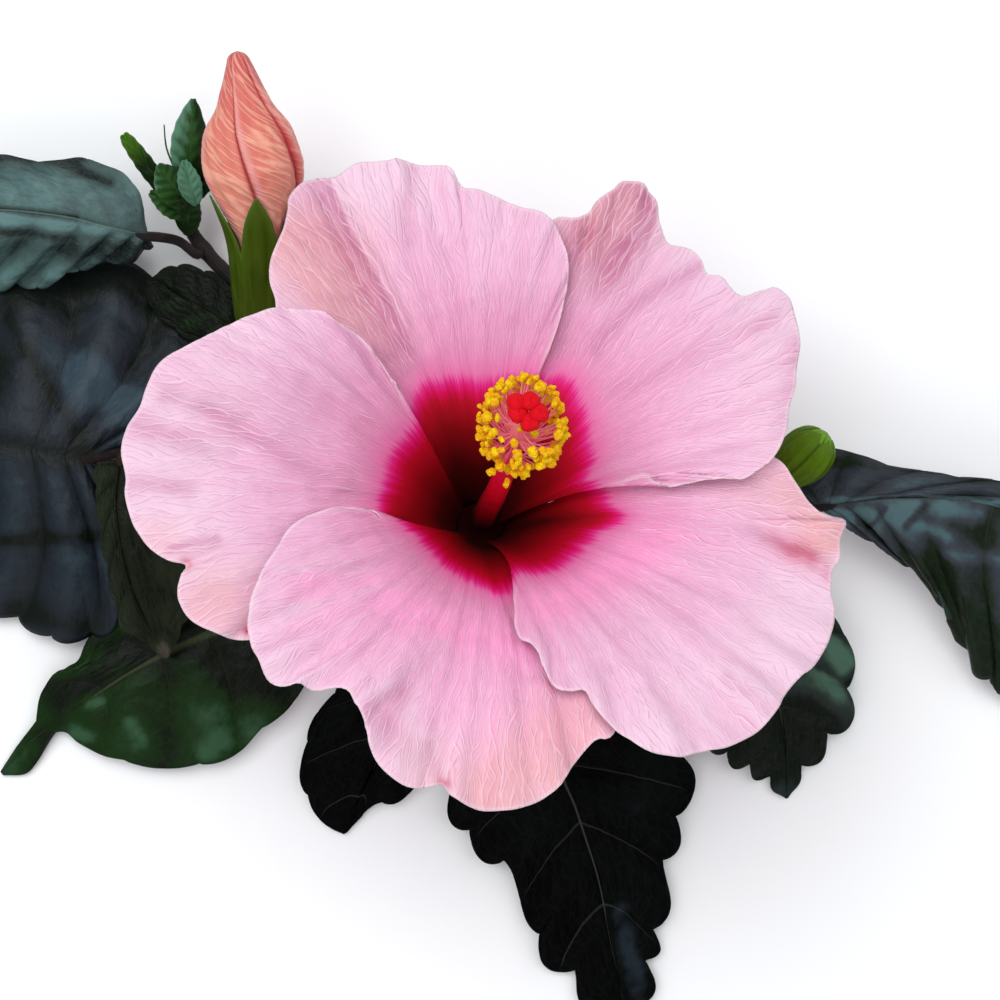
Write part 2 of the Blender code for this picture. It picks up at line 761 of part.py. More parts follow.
def axis_frame(base, tip):
    """Axes for a piece that runs from base to tip: rows across, across and along, and its length."""
    base, tip = np.array(base), np.array(tip)
    along = unit(tip - base)
    across = unit(np.cross(UP, along))
    return np.array([across, np.cross(along, across), along]), np.linalg.norm(tip - base)


def bud_radius(along, radius):
    """A bud's radius: narrow foot, widest past its middle, drawn to a point."""
    profile = smooth_path(BUD_PROFILE, 60)
    return radius * np.interp(along, profile[:, 0], profile[:, 1])


def make_bud(prefix, bud, finish, twist):
    """A furled bud and the calyx that wraps its lower part, clear of it by the gap."""
    base, tip, radius, bow, wrap = bud
    axes, length = axis_frame(base, tip)

    def placed(points):
        """Points in the bud's own frame, bowed aside and put in the sprig's."""
        aside = -bow * np.sin(math.pi * np.clip(points[:, 2] / length, 0, 1))
        return np.array(base) + (points + np.outer(aside, (1.0, 0.0, 0.0))) @ axes

    turns = np.linspace(0, 2 * math.pi, BUD_SIDES, endpoint=False)
    points = []
    for along in np.linspace(0, 1, BUD_RINGS):
        level = bud_radius(along, radius) * (1 + BUD_FURL * np.cos(3 * (turns - twist * along)))
        height = np.full(BUD_SIDES, BUD_FLOOR + along * (length - BUD_FLOOR))
        points.append(np.stack([level * np.cos(turns), level * np.sin(turns), height], 1))
    faces = wall_faces(BUD_RINGS, BUD_SIDES) + end_faces(BUD_RINGS, BUD_SIDES)
    add_object(prefix + "_petals", placed(np.vstack(points)), faces, finish)

    def wall_radius(height):
        above = height - BUD_FLOOR
        along = np.clip(above / (length - BUD_FLOOR), 0, 1)
        clear = bud_radius(along, radius) * (1.02 + BUD_FURL) + BUD_CALYX_CLEARANCE
        return clear + 0.4 * np.minimum(above, 0)

    def rim_height(turns):
        tooth = tooth_wave(turns, CALYX_TEETH, BUD_TOOTH_BLUNTNESS)
        return wrap * length * (1 - BUD_TOOTH_SHARE * (1 - tooth))

    points, faces = calyx_cup(
        rim_height,
        CALYX_WALL,
        wall_radius,
        BUD_FLOOR - GAP,
        0.0,
        20,
        5,
    )
    add_object(prefix + "_calyx", placed(points), faces, "calyx")


def half_width(along, widest, taper):
    """How broad one half of a leaf blade is along its midrib, as a share of its greatest."""
    power = math.log(0.5) / math.log(widest)
    return np.sin(math.pi * np.clip(along, 0, 1) ** power) ** (0.62 + taper * along)


def blade_grid(leaf, rows, columns):
    """The blade's middle surface: two halves that fold along a curved midrib, toothed outside."""
    along = np.linspace(0, 1, rows)
    middle = bezier(leaf["midrib"], along)
    tangent = unit(np.gradient(middle, axis=0))
    left = unit(np.cross(UP, tangent))
    top = np.cross(tangent, left)
    aside = np.linspace(-1, 1, columns)
    tooth = 1 + LEAF_TOOTH * np.where(np.arange(rows) % 2 == 1, 0.5, -0.5) * np.sin(math.pi * along)
    foot = leaf["foot"]
    share = half_width(foot + (1 - foot) * along, leaf["widest"], leaf["taper"]) * tooth
    left_half, right_half = leaf["half_widths"]
    grid = np.empty((rows, columns, 3))
    for column, place in enumerate(aside):
        turn = math.radians(leaf["fold"] - leaf["roll"] if place > 0 else leaf["fold"] + leaf["roll"])
        reach = abs(place) * (NARROWEST + (left_half if place > 0 else right_half) * share)[:, None]
        way = math.copysign(1, place) * math.cos(turn) * left + math.sin(turn) * top
        back = leaf["lobe"] * abs(place) ** 1.6 * (share * (1 - along) ** 3)[:, None] * tangent
        grid[:, column] = middle + reach * way - back
    # The far part of the blade settles until its lowest point rests on the floor.
    drop = grid[..., 2].min() - LEAF_THICKNESS / 2
    if leaf["midrib"][-1][2] < LEAF_THICKNESS:
        grid[..., 2] -= drop * smooth_step(along / SETTLES_BY)[:, None]
    return grid


def make_leaves():
    """Each leaf: a thin folded blade fused to its petiole."""
    for name, leaf in LEAVES.items():
        grid = blade_grid(leaf, LEAF_ROWS, LEAF_COLUMNS)
        foot = grid[1, LEAF_COLUMNS // 2] - (0.0, 0.0, LEAF_THICKNESS / 2)
        start = foot_on(*leaf["grows_from"], leaf["petiole"][0])
        path = smooth_path([*start, *leaf["petiole"], np.array(leaf["midrib"][0]), foot], 12)
        finish = "brown_leaf" if name == "leaf_young" else "leaf"
        fused(name, [slab(grid, LEAF_THICKNESS), tube(path, PETIOLE_RADIUS, 6)], finish)


def make_shoot_tip():
    """The growing tip with its young leaves, fused."""
    solids = [tube(smooth_path(SHOOT_PATH, 6), np.linspace(*SHOOT_STALK_RADII, 6), 8)]
    for base, tip, half in SHOOT_LEAVES:
        base, tip = np.array(base), np.array(tip)
        along = np.linspace(0, 1, 6)
        arch = np.outer(SHOOT_LEAF_ARCH * np.sin(math.pi * along), UP)
        middle = base + np.outer(along, tip - base) + arch
        aside = unit(np.cross(UP, tip - base))
        width = NARROWEST / 2 + half * np.sin(math.pi * along**0.8) ** 0.8
        places = np.linspace(-1, 1, 3)
        grid = middle[:, None] + width[:, None, None] * places[None, :, None] * aside
        grid = grid + (np.abs(places)[None, :] * width[:, None])[..., None] * SHOOT_LEAF_FOLD * UP
        solids.append(slab(grid, SHOOT_LEAF_THICKNESS))
    fused("shoot_tip", solids, "young_leaf")


def bloom_seat():
    """The point under the epicalyx that the bloom's stalk reaches, and the way it points there."""
    return to_world((0, 0, EPICALYX_TOP - EPICALYX_THICKNESS - GAP)), bloom_frame()[2]


def bud_seat(bud):
    """The point under a bud's calyx that its stalk reaches, and the way it points there."""
    axes, _ = axis_frame(bud[0], bud[1])
    return np.array(bud[0]) - axes[2] * GAP, axes[2]


CARRIED_BY = {
    "bloom_stalk": bloom_seat,
    "bud_stalk": lambda: bud_seat(CORAL_BUD),
    "green_bud_stalk": lambda: bud_seat(GREEN_BUD),
}


def centre_on_origin():
    """Moves every vertex so that the origin is the bottom centre of the whole sprig."""
    objects = [obj for obj in bpy.context.scene.objects if obj.type == "MESH"]
    points = np.array([vertex.co for obj in objects for vertex in obj.data.vertices])
    low, high = points.min(axis=0), points.max(axis=0)
    shift = np.array([-(low[0] + high[0]) / 2, -(low[1] + high[1]) / 2, -low[2]])
    for obj in objects:
        for vertex in obj.data.vertices:
            vertex.co = np.array(vertex.co) + shift
    print("moved by", [round(float(value), 6) for value in shift])


for old in list(bpy.data.objects):
    bpy.data.objects.remove(old)
make_stems()
make_leaves()
make_shoot_tip()
make_petals()
make_stamens()
make_bloom_calyx()
make_bud("bud", CORAL_BUD, "coral", 2.4)
make_bud("green_bud", GREEN_BUD, "calyx", 0.0)
centre_on_origin()
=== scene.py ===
"""Dresses a cut hibiscus sprig that lies on its leaves: an open pink bloom, two buds, leaves and stems.

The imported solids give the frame. Every visible form is made here as a surface worked out with numpy,
by the rules that the solids follow, and stands for its solid. Sizes are in millimetres in the
sprig's drawing frame, whose origin is the floor point under the middle of the view.
"""

import json
import logging
import math
from dataclasses import dataclass
from enum import Enum
from functools import cache, partialmethod
from typing import Any, Callable, Sequence

import bpy
import mathutils
import numpy as np
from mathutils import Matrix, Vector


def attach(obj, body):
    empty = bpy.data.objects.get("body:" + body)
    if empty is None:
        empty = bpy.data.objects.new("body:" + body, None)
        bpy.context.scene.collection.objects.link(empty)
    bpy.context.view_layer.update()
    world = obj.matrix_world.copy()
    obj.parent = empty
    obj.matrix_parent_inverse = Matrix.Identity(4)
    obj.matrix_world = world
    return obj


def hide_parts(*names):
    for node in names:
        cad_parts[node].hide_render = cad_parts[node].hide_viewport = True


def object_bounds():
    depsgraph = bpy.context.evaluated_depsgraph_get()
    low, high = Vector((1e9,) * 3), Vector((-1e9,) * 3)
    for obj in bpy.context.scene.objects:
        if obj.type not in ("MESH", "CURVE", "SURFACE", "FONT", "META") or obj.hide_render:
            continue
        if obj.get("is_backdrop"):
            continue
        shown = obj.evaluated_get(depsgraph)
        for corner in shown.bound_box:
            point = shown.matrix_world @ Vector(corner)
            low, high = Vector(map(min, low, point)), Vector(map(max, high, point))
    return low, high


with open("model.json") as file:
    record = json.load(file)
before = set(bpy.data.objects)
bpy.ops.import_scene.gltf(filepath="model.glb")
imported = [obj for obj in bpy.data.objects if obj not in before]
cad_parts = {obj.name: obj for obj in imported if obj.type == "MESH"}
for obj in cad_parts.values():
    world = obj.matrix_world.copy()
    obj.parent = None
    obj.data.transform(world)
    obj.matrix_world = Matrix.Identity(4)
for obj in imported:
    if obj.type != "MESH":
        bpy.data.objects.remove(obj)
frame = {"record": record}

LOG = logging.getLogger("sprig")
UP = np.array([0.0, 0.0, 1.0])
TURN = 2 * math.pi
GOLDEN_ANGLE = math.radians(137.508)
MM = 0.001
STUDIO_LIGHT = 1.3  # how much brighter than its albedo a plain surface shows
VEIN_SCALE = 20.0  # how many veins one unit of a leaf's first surface coordinate holds
CUT_END = np.array([22.4, -28.6, 2.6])
SHIFT = np.array(frame["record"]["mounts"][0]["pos_m"]) / MM - CUT_END

Array = np.ndarray
Values = dict[str, Array]
Rule = Callable[[Array], Array]
Point = tuple[float, float]
Place = tuple[float, float, float]
Colour = tuple[float, float, float]


# ---- Curves and patterns


def unit(vectors: Array) -> Array:
    """The vectors, each at length one."""
    vectors = np.asarray(vectors, float)
    return vectors / np.maximum(np.linalg.norm(vectors, axis=-1, keepdims=True), 1e-12)


def axes_along(axis: Array, side: Any) -> Array:
    """A frame's axes as rows: two across its axis, the first square to the side, and the axis."""
    across = unit(np.cross(side, axis))
    return np.array([across, np.cross(axis, across), axis])


def smooth_step(x: Array, low: float = 0.0, high: float = 1.0) -> Array:
    """0 up to low, 1 from high on, and smooth in between."""
    x = np.clip((np.asarray(x, float) - low) / (high - low), 0, 1)
    return x * x * (3 - 2 * x)


def rise(count: int) -> Array:
    """Even steps from 0 to 1, as a column."""
    return np.linspace(0, 1, count)[:, None]


def whole_turn(count: int) -> Array:
    """Even steps of a full turn, in radians, as a row."""
    return np.linspace(0, TURN, count, endpoint=False)[None]


def about_axis(radius: Array, turn: Array, height: Array) -> Array:
    """Points at a radius and a turn about the Z axis, at a height."""
    return np.stack(np.broadcast_arrays(radius * np.cos(turn), radius * np.sin(turn), height), axis=-1)


def arc(start: Array, control: Array, end: Array, share: Array) -> Array:
    """The quadratic Bezier curve from start to end, read at shares of the way."""
    return (1 - share) ** 2 * start + 2 * share * (1 - share) * control + share**2 * end


def smooth_path(points: Sequence[Any], count: int) -> Array:
    """A smooth curve through points, read at even steps of the square root of their spacing.

    Between two points it is the cubic that has their places and slopes.

    Args:
        points: The points that the curve runs through.
        count: How many points to read from it.

    Returns:
        An array of count points.
    """
    points = np.asarray(points, float)
    knots = np.concatenate([[0], np.cumsum(np.linalg.norm(np.diff(points, axis=0), axis=1) ** 0.5)])
    slopes = np.gradient(points, knots, axis=0)
    place = np.linspace(0, knots[-1], count)
    first = np.clip(np.searchsorted(knots, place, side="right") - 1, 0, len(points) - 2)
    after = first + 1
    span = (knots[after] - knots[first])[:, None]
    t = (place - knots[first])[:, None] / span
    return (
        (2 * t**3 - 3 * t**2 + 1) * points[first]
        + (t**3 - 2 * t**2 + t) * span * slopes[first]
        + (3 * t**2 - 2 * t**3) * points[after]
        + (t**3 - t**2) * span * slopes[after]
    )


def even_path(points: Sequence[Any], count: int) -> Array:
    """The same smooth curve, read at even steps of its length.

    Args:
        points: The points that the curve runs through.
        count: How many points to read from it.

    Returns:
        An array of count points.
    """
    fine = smooth_path(points, 40 * len(points))
    length = np.concatenate([[0], np.cumsum(np.linalg.norm(np.diff(fine, axis=0), axis=1))])
    return along_path(fine, length / length[-1], np.linspace(0, 1, count))


def along_path(path: Array, places: Array, at: Array) -> Array:
    """A path's points at given places, by straight lines between the points that it has."""
    return np.stack([np.interp(at, places, path[:, axis]) for axis in range(path.shape[1])], axis=-1)


def patches(u: Array, v: Array, seed: int) -> Array:
    """Smooth random patches over (u, v), from -1 to 1, about one unit across.

    Random numbers at whole places are blended by a smooth step in both directions.

    Args:
        u: The places along one way.
        v: The places along the other.
        seed: The number that the table of random numbers starts from.

    Returns:
        One number a place.
    """
    size = 96
    u, v = np.broadcast_arrays(u, v)
    table = np.random.default_rng(seed).uniform(-1, 1, (size + 1, size + 1))
    i, j = np.floor(u).astype(int), np.floor(v).astype(int)
    a, b = smooth_step(u - i), smooth_step(v - j)
    i, j = i % size, j % size
    low = table[i, j] * (1 - a) + table[i + 1, j] * a
    high = table[i, j + 1] * (1 - a) + table[i + 1, j + 1] * a
    return low * (1 - b) + high * b


def bell(where: Array, line: Array, width: float) -> Array:
    """A bell curve of the distance from a line of points in the plane: exp(-(distance / width) ** 2).

    Args:
        where: (..., 2) places.
        line: (n, 2) points of the line, at least two.
        width: The curve's width.

    Returns:
        One number a place: 1 on the line and 0 far from it.
    """
    nearest = np.full(where.shape[:-1], 1e9)
    for a, b in zip(line, line[1:]):
        run = b - a
        share = np.clip(((where - a) @ run) / max(run @ run, 1e-9), 0, 1)
        nearest = np.minimum(nearest, np.linalg.norm(where - a - share[..., None] * run, axis=-1))
    return np.exp(-((nearest / width) ** 2))


def rightwards(where: Array, line: Array) -> Array:
    """How far places lie on the right of a line: the cross product with its nearest step's direction.

    Args:
        where: (..., 2) places in the plane.
        line: (n, 2) points of the line.

    Returns:
        A distance for each place, below zero on the left.
    """
    steps = even_path(line, 60)
    run = unit(np.gradient(steps, axis=0))
    gap = where[..., None, :] - steps
    nearest = np.linalg.norm(gap, axis=-1).argmin(axis=-1)
    gap = np.take_along_axis(gap, nearest[..., None, None], axis=-2)[..., 0, :]
    return gap[..., 0] * run[nearest][..., 1] - gap[..., 1] * run[nearest][..., 0]


@dataclass
class Mark:
    """A soft mark along a line: a ridge or a stronger colour, and the opposite if its strength is below zero.

    Attributes:
        line: (n, 2) points of the line in the plane, at least two.
        strength: How high or how strong it is on the line.
        width: Its width.
        right_only: Whether it shows only on the right of its line.
    """

    line: Array
    strength: float
    width: float
    right_only: bool = False

    def share(self, where: Array) -> Array:
        """Its strength at places of the plane: a bell curve of the distance from its line."""
        share = self.strength * bell(where, self.line, self.width)
        return share * smooth_step(rightwards(where, self.line), -0.2, 0.5) if self.right_only else share

    def rooted(self, where: Array) -> Array:
        """Its strength, growing from nothing at the end nearer to the bloom's axis.

        Args:
            where: (..., 2) places.

        Returns:
            One number a place.
        """
        reach = np.linalg.norm(self.line, axis=1)
        near, far = reach.min(), reach.max()
        return self.share(where) * smooth_step(np.linalg.norm(where, axis=-1), near - 1, near + 0.4 * (far - near))


def total(marks: Sequence[Mark], where: Array) -> Array:
    """The strength of all the marks together at places of the plane."""
    return sum((mark.share(where) for mark in marks), np.zeros(where.shape[:-1]))


def polar(places: Sequence[Point]) -> Array:
    """(degrees, mm) places as points of the plane across the bloom's axis.

    Args:
        places: The angle and the distance of each.

    Returns:
        An (n, 2) array.
    """
    held = np.array(places, float)
    angle = np.radians(held[:, 0])
    return held[:, 1:] * np.stack([np.cos(angle), np.sin(angle)], axis=-1)


def mark(strength: float, width: float, *line: Point, right_only: bool = False) -> Mark:
    """A mark on a petal, along a line of (degrees, mm) places or round one such place."""
    return Mark(polar(line if len(line) > 1 else 2 * line), strength, width, right_only)


# ---- Surfaces


def put(name: str, data: bpy.types.ID) -> bpy.types.Object:
    """A new object in the scene.

    Args:
        name: Its name.
        data: What it shows.

    Returns:
        The object.
    """
    made = bpy.data.objects.new(name, data)
    bpy.context.scene.collection.objects.link(made)
    return made


@dataclass
class Surface:
    """Points, the faces between them, and what the finishes read at each.

    Attributes:
        points: (n, 3) places in millimetres.
        faces: Arrays of point numbers, one row a face.
        corners: For each array of faces, the (u, v) of each of its corners.
        values: Named numbers, one a point.
    """

    points: Array
    faces: list[Array]
    corners: list[Array]
    values: Values

    @classmethod
    def joined(cls, parts: Sequence["Surface"]) -> "Surface":
        """Several surfaces as one, each still a body of its own.

        Args:
            parts: The surfaces.

        Returns:
            The one surface. A value that a part lacks is 0 there.
        """
        starts = np.cumsum([0] + [len(part.points) for part in parts])
        values = {
            name: np.concatenate([part.values.get(name, np.zeros(len(part.points))) for part in parts])
            for name in {name for part in parts for name in part.values}
        }
        return cls(
            np.concatenate([part.points for part in parts]),
            [faces + start for part, start in zip(parts, starts) for faces in part.faces],
            [corners for part in parts for corners in part.corners],
            values,
        )

    def piece(self, name: str, node: str, finish: "Finish", slot: str) -> None:
        """Makes the surface an object that stands for a CAD node and rides on the sprig's one body.

        Args:
            name: The object's name.
            node: The CAD node that it stands for.
            finish: Its finish.
            slot: The record's slot that its finish belongs to; not used.
        """
        mesh = bpy.data.meshes.new(name)
        faces = [row for block in self.faces for row in block.tolist()]
        mesh.from_pydata(((self.points + SHIFT) * MM).tolist(), [], faces)
        layer = mesh.uv_layers.new(name="Flow")
        layer.data.foreach_set("uv", np.concatenate([c.reshape(-1, 2) for c in self.corners]).ravel())
        for key, numbers in self.values.items():
            held = mesh.attributes.new(key, "FLOAT", "POINT")
            held.data.foreach_set("value", np.asarray(numbers, np.float32))
        mesh.polygons.foreach_set("use_smooth", np.ones(len(mesh.polygons), bool))
        mesh.materials.append(material_of(finish))
        mesh.update()
        made = put(name, mesh)
        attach(made, "root")
        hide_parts(node)
        LOG.info("%s: %d faces, for %s", name, len(faces), node)


def surface_normals(grid: Array) -> Array:
    """The normals of a grid of points: the cross product of its steps along rows and columns."""
    return unit(np.cross(np.gradient(grid, axis=0), np.gradient(grid, axis=1)))


def quads(rows: int, columns: int, closed: bool = False) -> Array:
    """The faces between a grid's points, which close up sideways if it is a tube.

    Args:
        rows: How many rows the grid has.
        columns: How many columns it has.
        closed: Whether its last column joins its first.

    Returns:
        The faces, four point numbers in each.
    """
    index = np.arange(rows * columns).reshape(rows, columns)
    if closed:
        index = np.concatenate([index, index[:, :1]], axis=1)
    a, b, c, d = index[:-1, :-1], index[:-1, 1:], index[1:, 1:], index[1:, :-1]
    return np.stack([a, b, c, d], axis=-1).reshape(-1, 4)


def sheet(grid: Array, thickness: Any, flow: Array, values: Values) -> Surface:
    """A thin closed sheet: the grid pushed out by half its thickness each way along its normals.

    Args:
        grid: (rows, columns, 3) points of the middle surface, with its normals upwards.
        thickness: One number, or one for each point.
        flow: (rows, columns, 2) surface coordinates for the finish.
        values: Named numbers for each point of the grid.

    Returns:
        The sheet with its rim. Its value "under" is 1 on the lower side.
    """
    rows, columns, _ = grid.shape
    offset = surface_normals(grid) * (np.broadcast_to(thickness, (rows, columns)) / 2)[..., None]
    count = rows * columns
    front = quads(rows, columns)
    back = front[:, ::-1] + count
    index = np.arange(count).reshape(rows, columns)
    edge = np.concatenate([index[0, :-1], index[:-1, -1], index[-1, :0:-1], index[:0:-1, 0]])
    after = np.roll(edge, -1)
    faces = [front, back, np.stack([after, edge, edge + count, after + count], axis=-1)]
    places = np.concatenate([flow.reshape(-1, 2)] * 2)
    held = {name: np.tile(np.broadcast_to(numbers, (rows, columns)).ravel(), 2) for name, numbers in values.items()}
    held["under"] = np.repeat([0.0, 1.0], count)
    points = np.concatenate([grid + offset, grid - offset]).reshape(-1, 3)
    return Surface(points, faces, [places[block] for block in faces], held)


def ringed(grid: Array, values: Values) -> Surface:
    """A closed body from rings of points: walls between the rings, and a fan over each end.

    Args:
        grid: (rings, sides, 3) points, ring after ring.
        values: Named numbers for each point of the grid.

    Returns:
        The body. Its surface coordinates are the share of a turn and the share of the way along.
    """
    rings, sides, _ = grid.shape
    turn = np.tile(np.arange(sides) / sides, rings - 1)
    level = np.repeat(np.arange(rings - 1) / (rings - 1), sides)
    steps = ((0, 0), (1 / sides, 0), (1 / sides, 1 / (rings - 1)), (0, 1 / (rings - 1)))
    corner = np.stack([np.stack([turn + across, level + along], -1) for across, along in steps], axis=1)
    count = rings * sides
    around = np.arange(sides)
    after = np.roll(around, -1)
    last = count - sides
    start = np.stack([np.full(sides, count), after, around], axis=-1)
    end = np.stack([np.full(sides, count + 1), around + last, after + last], axis=-1)
    cap_corner = np.zeros((2 * sides, 3, 2))
    cap_corner[..., 0] = np.tile(around / sides, 2)[:, None]
    cap_corner[sides:, :, 1] = 1
    held = {}
    for name, numbers in values.items():
        numbers = np.broadcast_to(numbers, (rings, sides))
        held[name] = np.concatenate([numbers.ravel(), [numbers[0].mean()], [numbers[-1].mean()]])
    points = np.concatenate([grid.reshape(-1, 3), [grid[0].mean(0)], [grid[-1].mean(0)]])
    faces = [quads(rings, sides, closed=True), np.concatenate([start, end])]
    return Surface(points, faces, [corner, cap_corner], held)


def tube(path: Array, radii: Any, sides: int, **values: Any) -> Surface:
    """A round closed tube: a circle of the given radius carried along the path without twisting.

    Args:
        path: (rings, 3) points of its centre line.
        radii: One radius for each ring, or one for each ring and side.
        sides: How many points a ring has.
        **values: Named numbers, each one for the tube or one for each ring in a column.

    Returns:
        The tube.
    """
    path = np.asarray(path, float)
    tangents = unit(np.gradient(path, axis=0))
    across = np.empty_like(path)
    held = unit(np.cross(tangents[0], UP if abs(tangents[0][2]) < 0.9 else (1.0, 0.0, 0.0)))
    for ring, tangent in enumerate(tangents):
        held = unit(held - tangent * held.dot(tangent))
        across[ring] = held
    other = np.cross(tangents, across)
    turn = whole_turn(sides)[..., None]
    spokes = np.cos(turn) * across[:, None] + np.sin(turn) * other[:, None]
    radii = np.asarray(radii, float)
    radii = radii[:, None] if radii.ndim == 1 else radii
    return ringed(path[:, None] + spokes * np.broadcast_to(radii, (len(path), sides))[..., None], values)


# ---- Shader sums


class Socket:
    """A shader socket that takes part in Python sums: each operator adds a node."""

    def __init__(self, tree: "ShaderTree", socket: bpy.types.NodeSocket) -> None:
        """Keeps the tree and the output socket."""
        self.tree = tree
        self.socket = socket

    def maths(self, operation: str, *others: Any) -> "Socket":
        """A Math node on this number and the others."""
        return self.tree.node("ShaderNodeMath", {"operation": operation}, dict(enumerate((self, *others))))

    def __rsub__(self, other: Any) -> "Socket":
        """other - self."""
        return self.tree.node("ShaderNodeMath", {"operation": "SUBTRACT"}, {0: other, 1: self})

    def blend(self, start: float, end: float, low: Any, high: Any) -> "Socket":
        """The start up to low, the end from high on, and smooth in between."""
        settings = {"interpolation_type": "SMOOTHSTEP"}
        return self.tree.node("ShaderNodeMapRange", settings, {0: self, 1: low, 2: high, 3: start, 4: end})

    def output(self, name: int | str) -> "Socket":
        """Another output of the same node."""
        return Socket(self.tree, self.socket.node.outputs[name])

    # What Python's operators and four named sums add to the tree.
    __add__ = __radd__ = partialmethod(maths, "ADD")
    __sub__ = partialmethod(maths, "SUBTRACT")
    __mul__ = __rmul__ = partialmethod(maths, "MULTIPLY")
    __truediv__ = partialmethod(maths, "DIVIDE")
    __abs__ = partialmethod(maths, "ABSOLUTE")
    fraction = partialmethod(maths, "FRACT")
    larger = partialmethod(maths, "MAXIMUM")
    rise = partialmethod(blend, 0.0, 1.0)
    fall = partialmethod(blend, 1.0, 0.0)


def tint(shown: Colour) -> Colour:
    """The albedo of a colour given as a screen shows it under the studio's light, from 0 to 255.

    Args:
        shown: Its red, green and blue as shown.

    Returns:
        The albedo, from 0 to 1.
    """
    shown = np.array(shown) / 255
    linear = np.where(shown > 0.04, ((shown + 0.055) / 1.055) ** 2.4, shown / 12.92)
    return tuple(np.minimum(linear / STUDIO_LIGHT, 1.0).tolist())


class ShaderTree:
    """A material's nodes, with one Principled shader. Its colours are given as a screen shows them."""

    def __init__(self, name: str) -> None:
        """Makes the material."""
        self.material = bpy.data.materials.new(name)
        self.material.use_nodes = True
        self.nodes = self.material.node_tree.nodes
        self.links = self.material.node_tree.links

    def node(
        self,
        kind: str,
        settings: dict[str, Any] | None = None,
        inputs: dict[int | str, Any] | None = None,
        output: int | str = 0,
    ) -> Socket:
        """Adds a node.

        Args:
            kind: Its type.
            settings: Its own settings, set first. "stops" gives a ramp's (place, colour) pairs.
            inputs: Values or sockets, by input name or number.
            output: Which output to return.

        Returns:
            That output.
        """
        made = self.nodes.new(kind)
        for key, value in (settings or {}).items():
            if key == "stops":
                stops = made.color_ramp.elements
                while len(stops) < len(value):
                    stops.new(0.5)
                for stop, (place, colour) in zip(stops, value):
                    stop.position = place
                    stop.color = (*tint(colour), 1.0)
            else:
                setattr(made, key, value)
        self.feed(made, inputs or {})
        return Socket(self, made.outputs[output])

    def feed(self, node: bpy.types.Node, inputs: dict[int | str, Any]) -> None:
        """Links or sets a node's inputs.

        Args:
            node: The node.
            inputs: Values or sockets, by input name or number.
        """
        for key, value in inputs.items():
            if isinstance(value, Socket):
                self.links.new(value.socket, node.inputs[key])
            else:
                node.inputs[key].default_value = value

    def ramp(self, share: Socket, stops: Sequence[tuple[float, Colour]]) -> Socket:
        """A colour that runs through the stops' (place, colour) pairs."""
        return self.node("ShaderNodeValToRGB", {"stops": stops}, {0: share})

    def mix(self, share: Any, first: Any, second: Any) -> Socket:
        """A colour between two: share 0 gives the first."""
        first, second = (c if isinstance(c, Socket) else (*tint(c), 1.0) for c in (first, second))
        return self.node("ShaderNodeMix", {"data_type": "RGBA"}, {0: share, 6: first, 7: second}, 2)

    def layers(self, colour: Any, *upper: tuple[Any, Any]) -> Any:
        """A colour under others, each given with its share before it.

        Args:
            colour: The lowest colour.
            *upper: Each share and colour, from below upwards.

        Returns:
            The colour that shows.
        """
        for share, other in upper:
            colour = self.mix(share, colour, other)
        return colour

    def flow(self) -> tuple[Socket, Socket]:
        """The two surface coordinates."""
        split = self.node("ShaderNodeSeparateXYZ", {}, {0: self.node("ShaderNodeUVMap", {"uv_map": "Flow"})})
        return split, split.output(1)

    def value(self, name: str) -> Socket:
        """A number that the mesh holds at each point."""
        return self.node("ShaderNodeAttribute", {"attribute_name": name}, {}, "Fac")

    def place(self) -> Socket:
        """Where a point is, in metres."""
        return self.node("ShaderNodeTexCoord", {}, {}, "Object")

    def vector(self, x: Any, y: Any) -> Socket:
        """Two numbers as one vector."""
        return self.node("ShaderNodeCombineXYZ", {}, {0: x, 1: y})

    def noise(self, where: Socket, scale: float = 1.0, detail: float = 2.0) -> Socket:
        """Soft noise from 0 to 1."""
        return self.node("ShaderNodeTexNoise", {}, {"Vector": where, "Scale": scale, "Detail": detail})

    def cells(self, where: Socket, scale: float = 1.0) -> Socket:
        """The distance to the nearest wall of a field of irregular cells."""
        return self.node("ShaderNodeTexVoronoi", {"feature": "DISTANCE_TO_EDGE"}, {"Vector": where, "Scale": scale})

    def finish(
        self,
        colour: Any,
        roughness: Any,
        height: Socket | None = None,
        distance: float = 0.0,
        strength: float = 0.8,
        specular: float = 0.2,
    ) -> bpy.types.Material:
        """Sets the shader's sockets.

        Args:
            colour: Its base colour.
            roughness: Its roughness.
            height: The height that its bumps follow, if it has any.
            distance: The height's full range, in millimetres.
            strength: How strongly the bumps show.
            specular: How strongly it reflects.

        Returns:
            The material.
        """
        inputs = {"Base Color": colour, "Roughness": roughness, "Specular IOR Level": specular}
        if height:
            bumps = {"Strength": strength, "Distance": distance * MM, "Height": height}
            inputs["Normal"] = self.node("ShaderNodeBump", {}, bumps)
        self.feed(self.nodes["Principled BSDF"], inputs)
        return self.material


# ---- Finishes


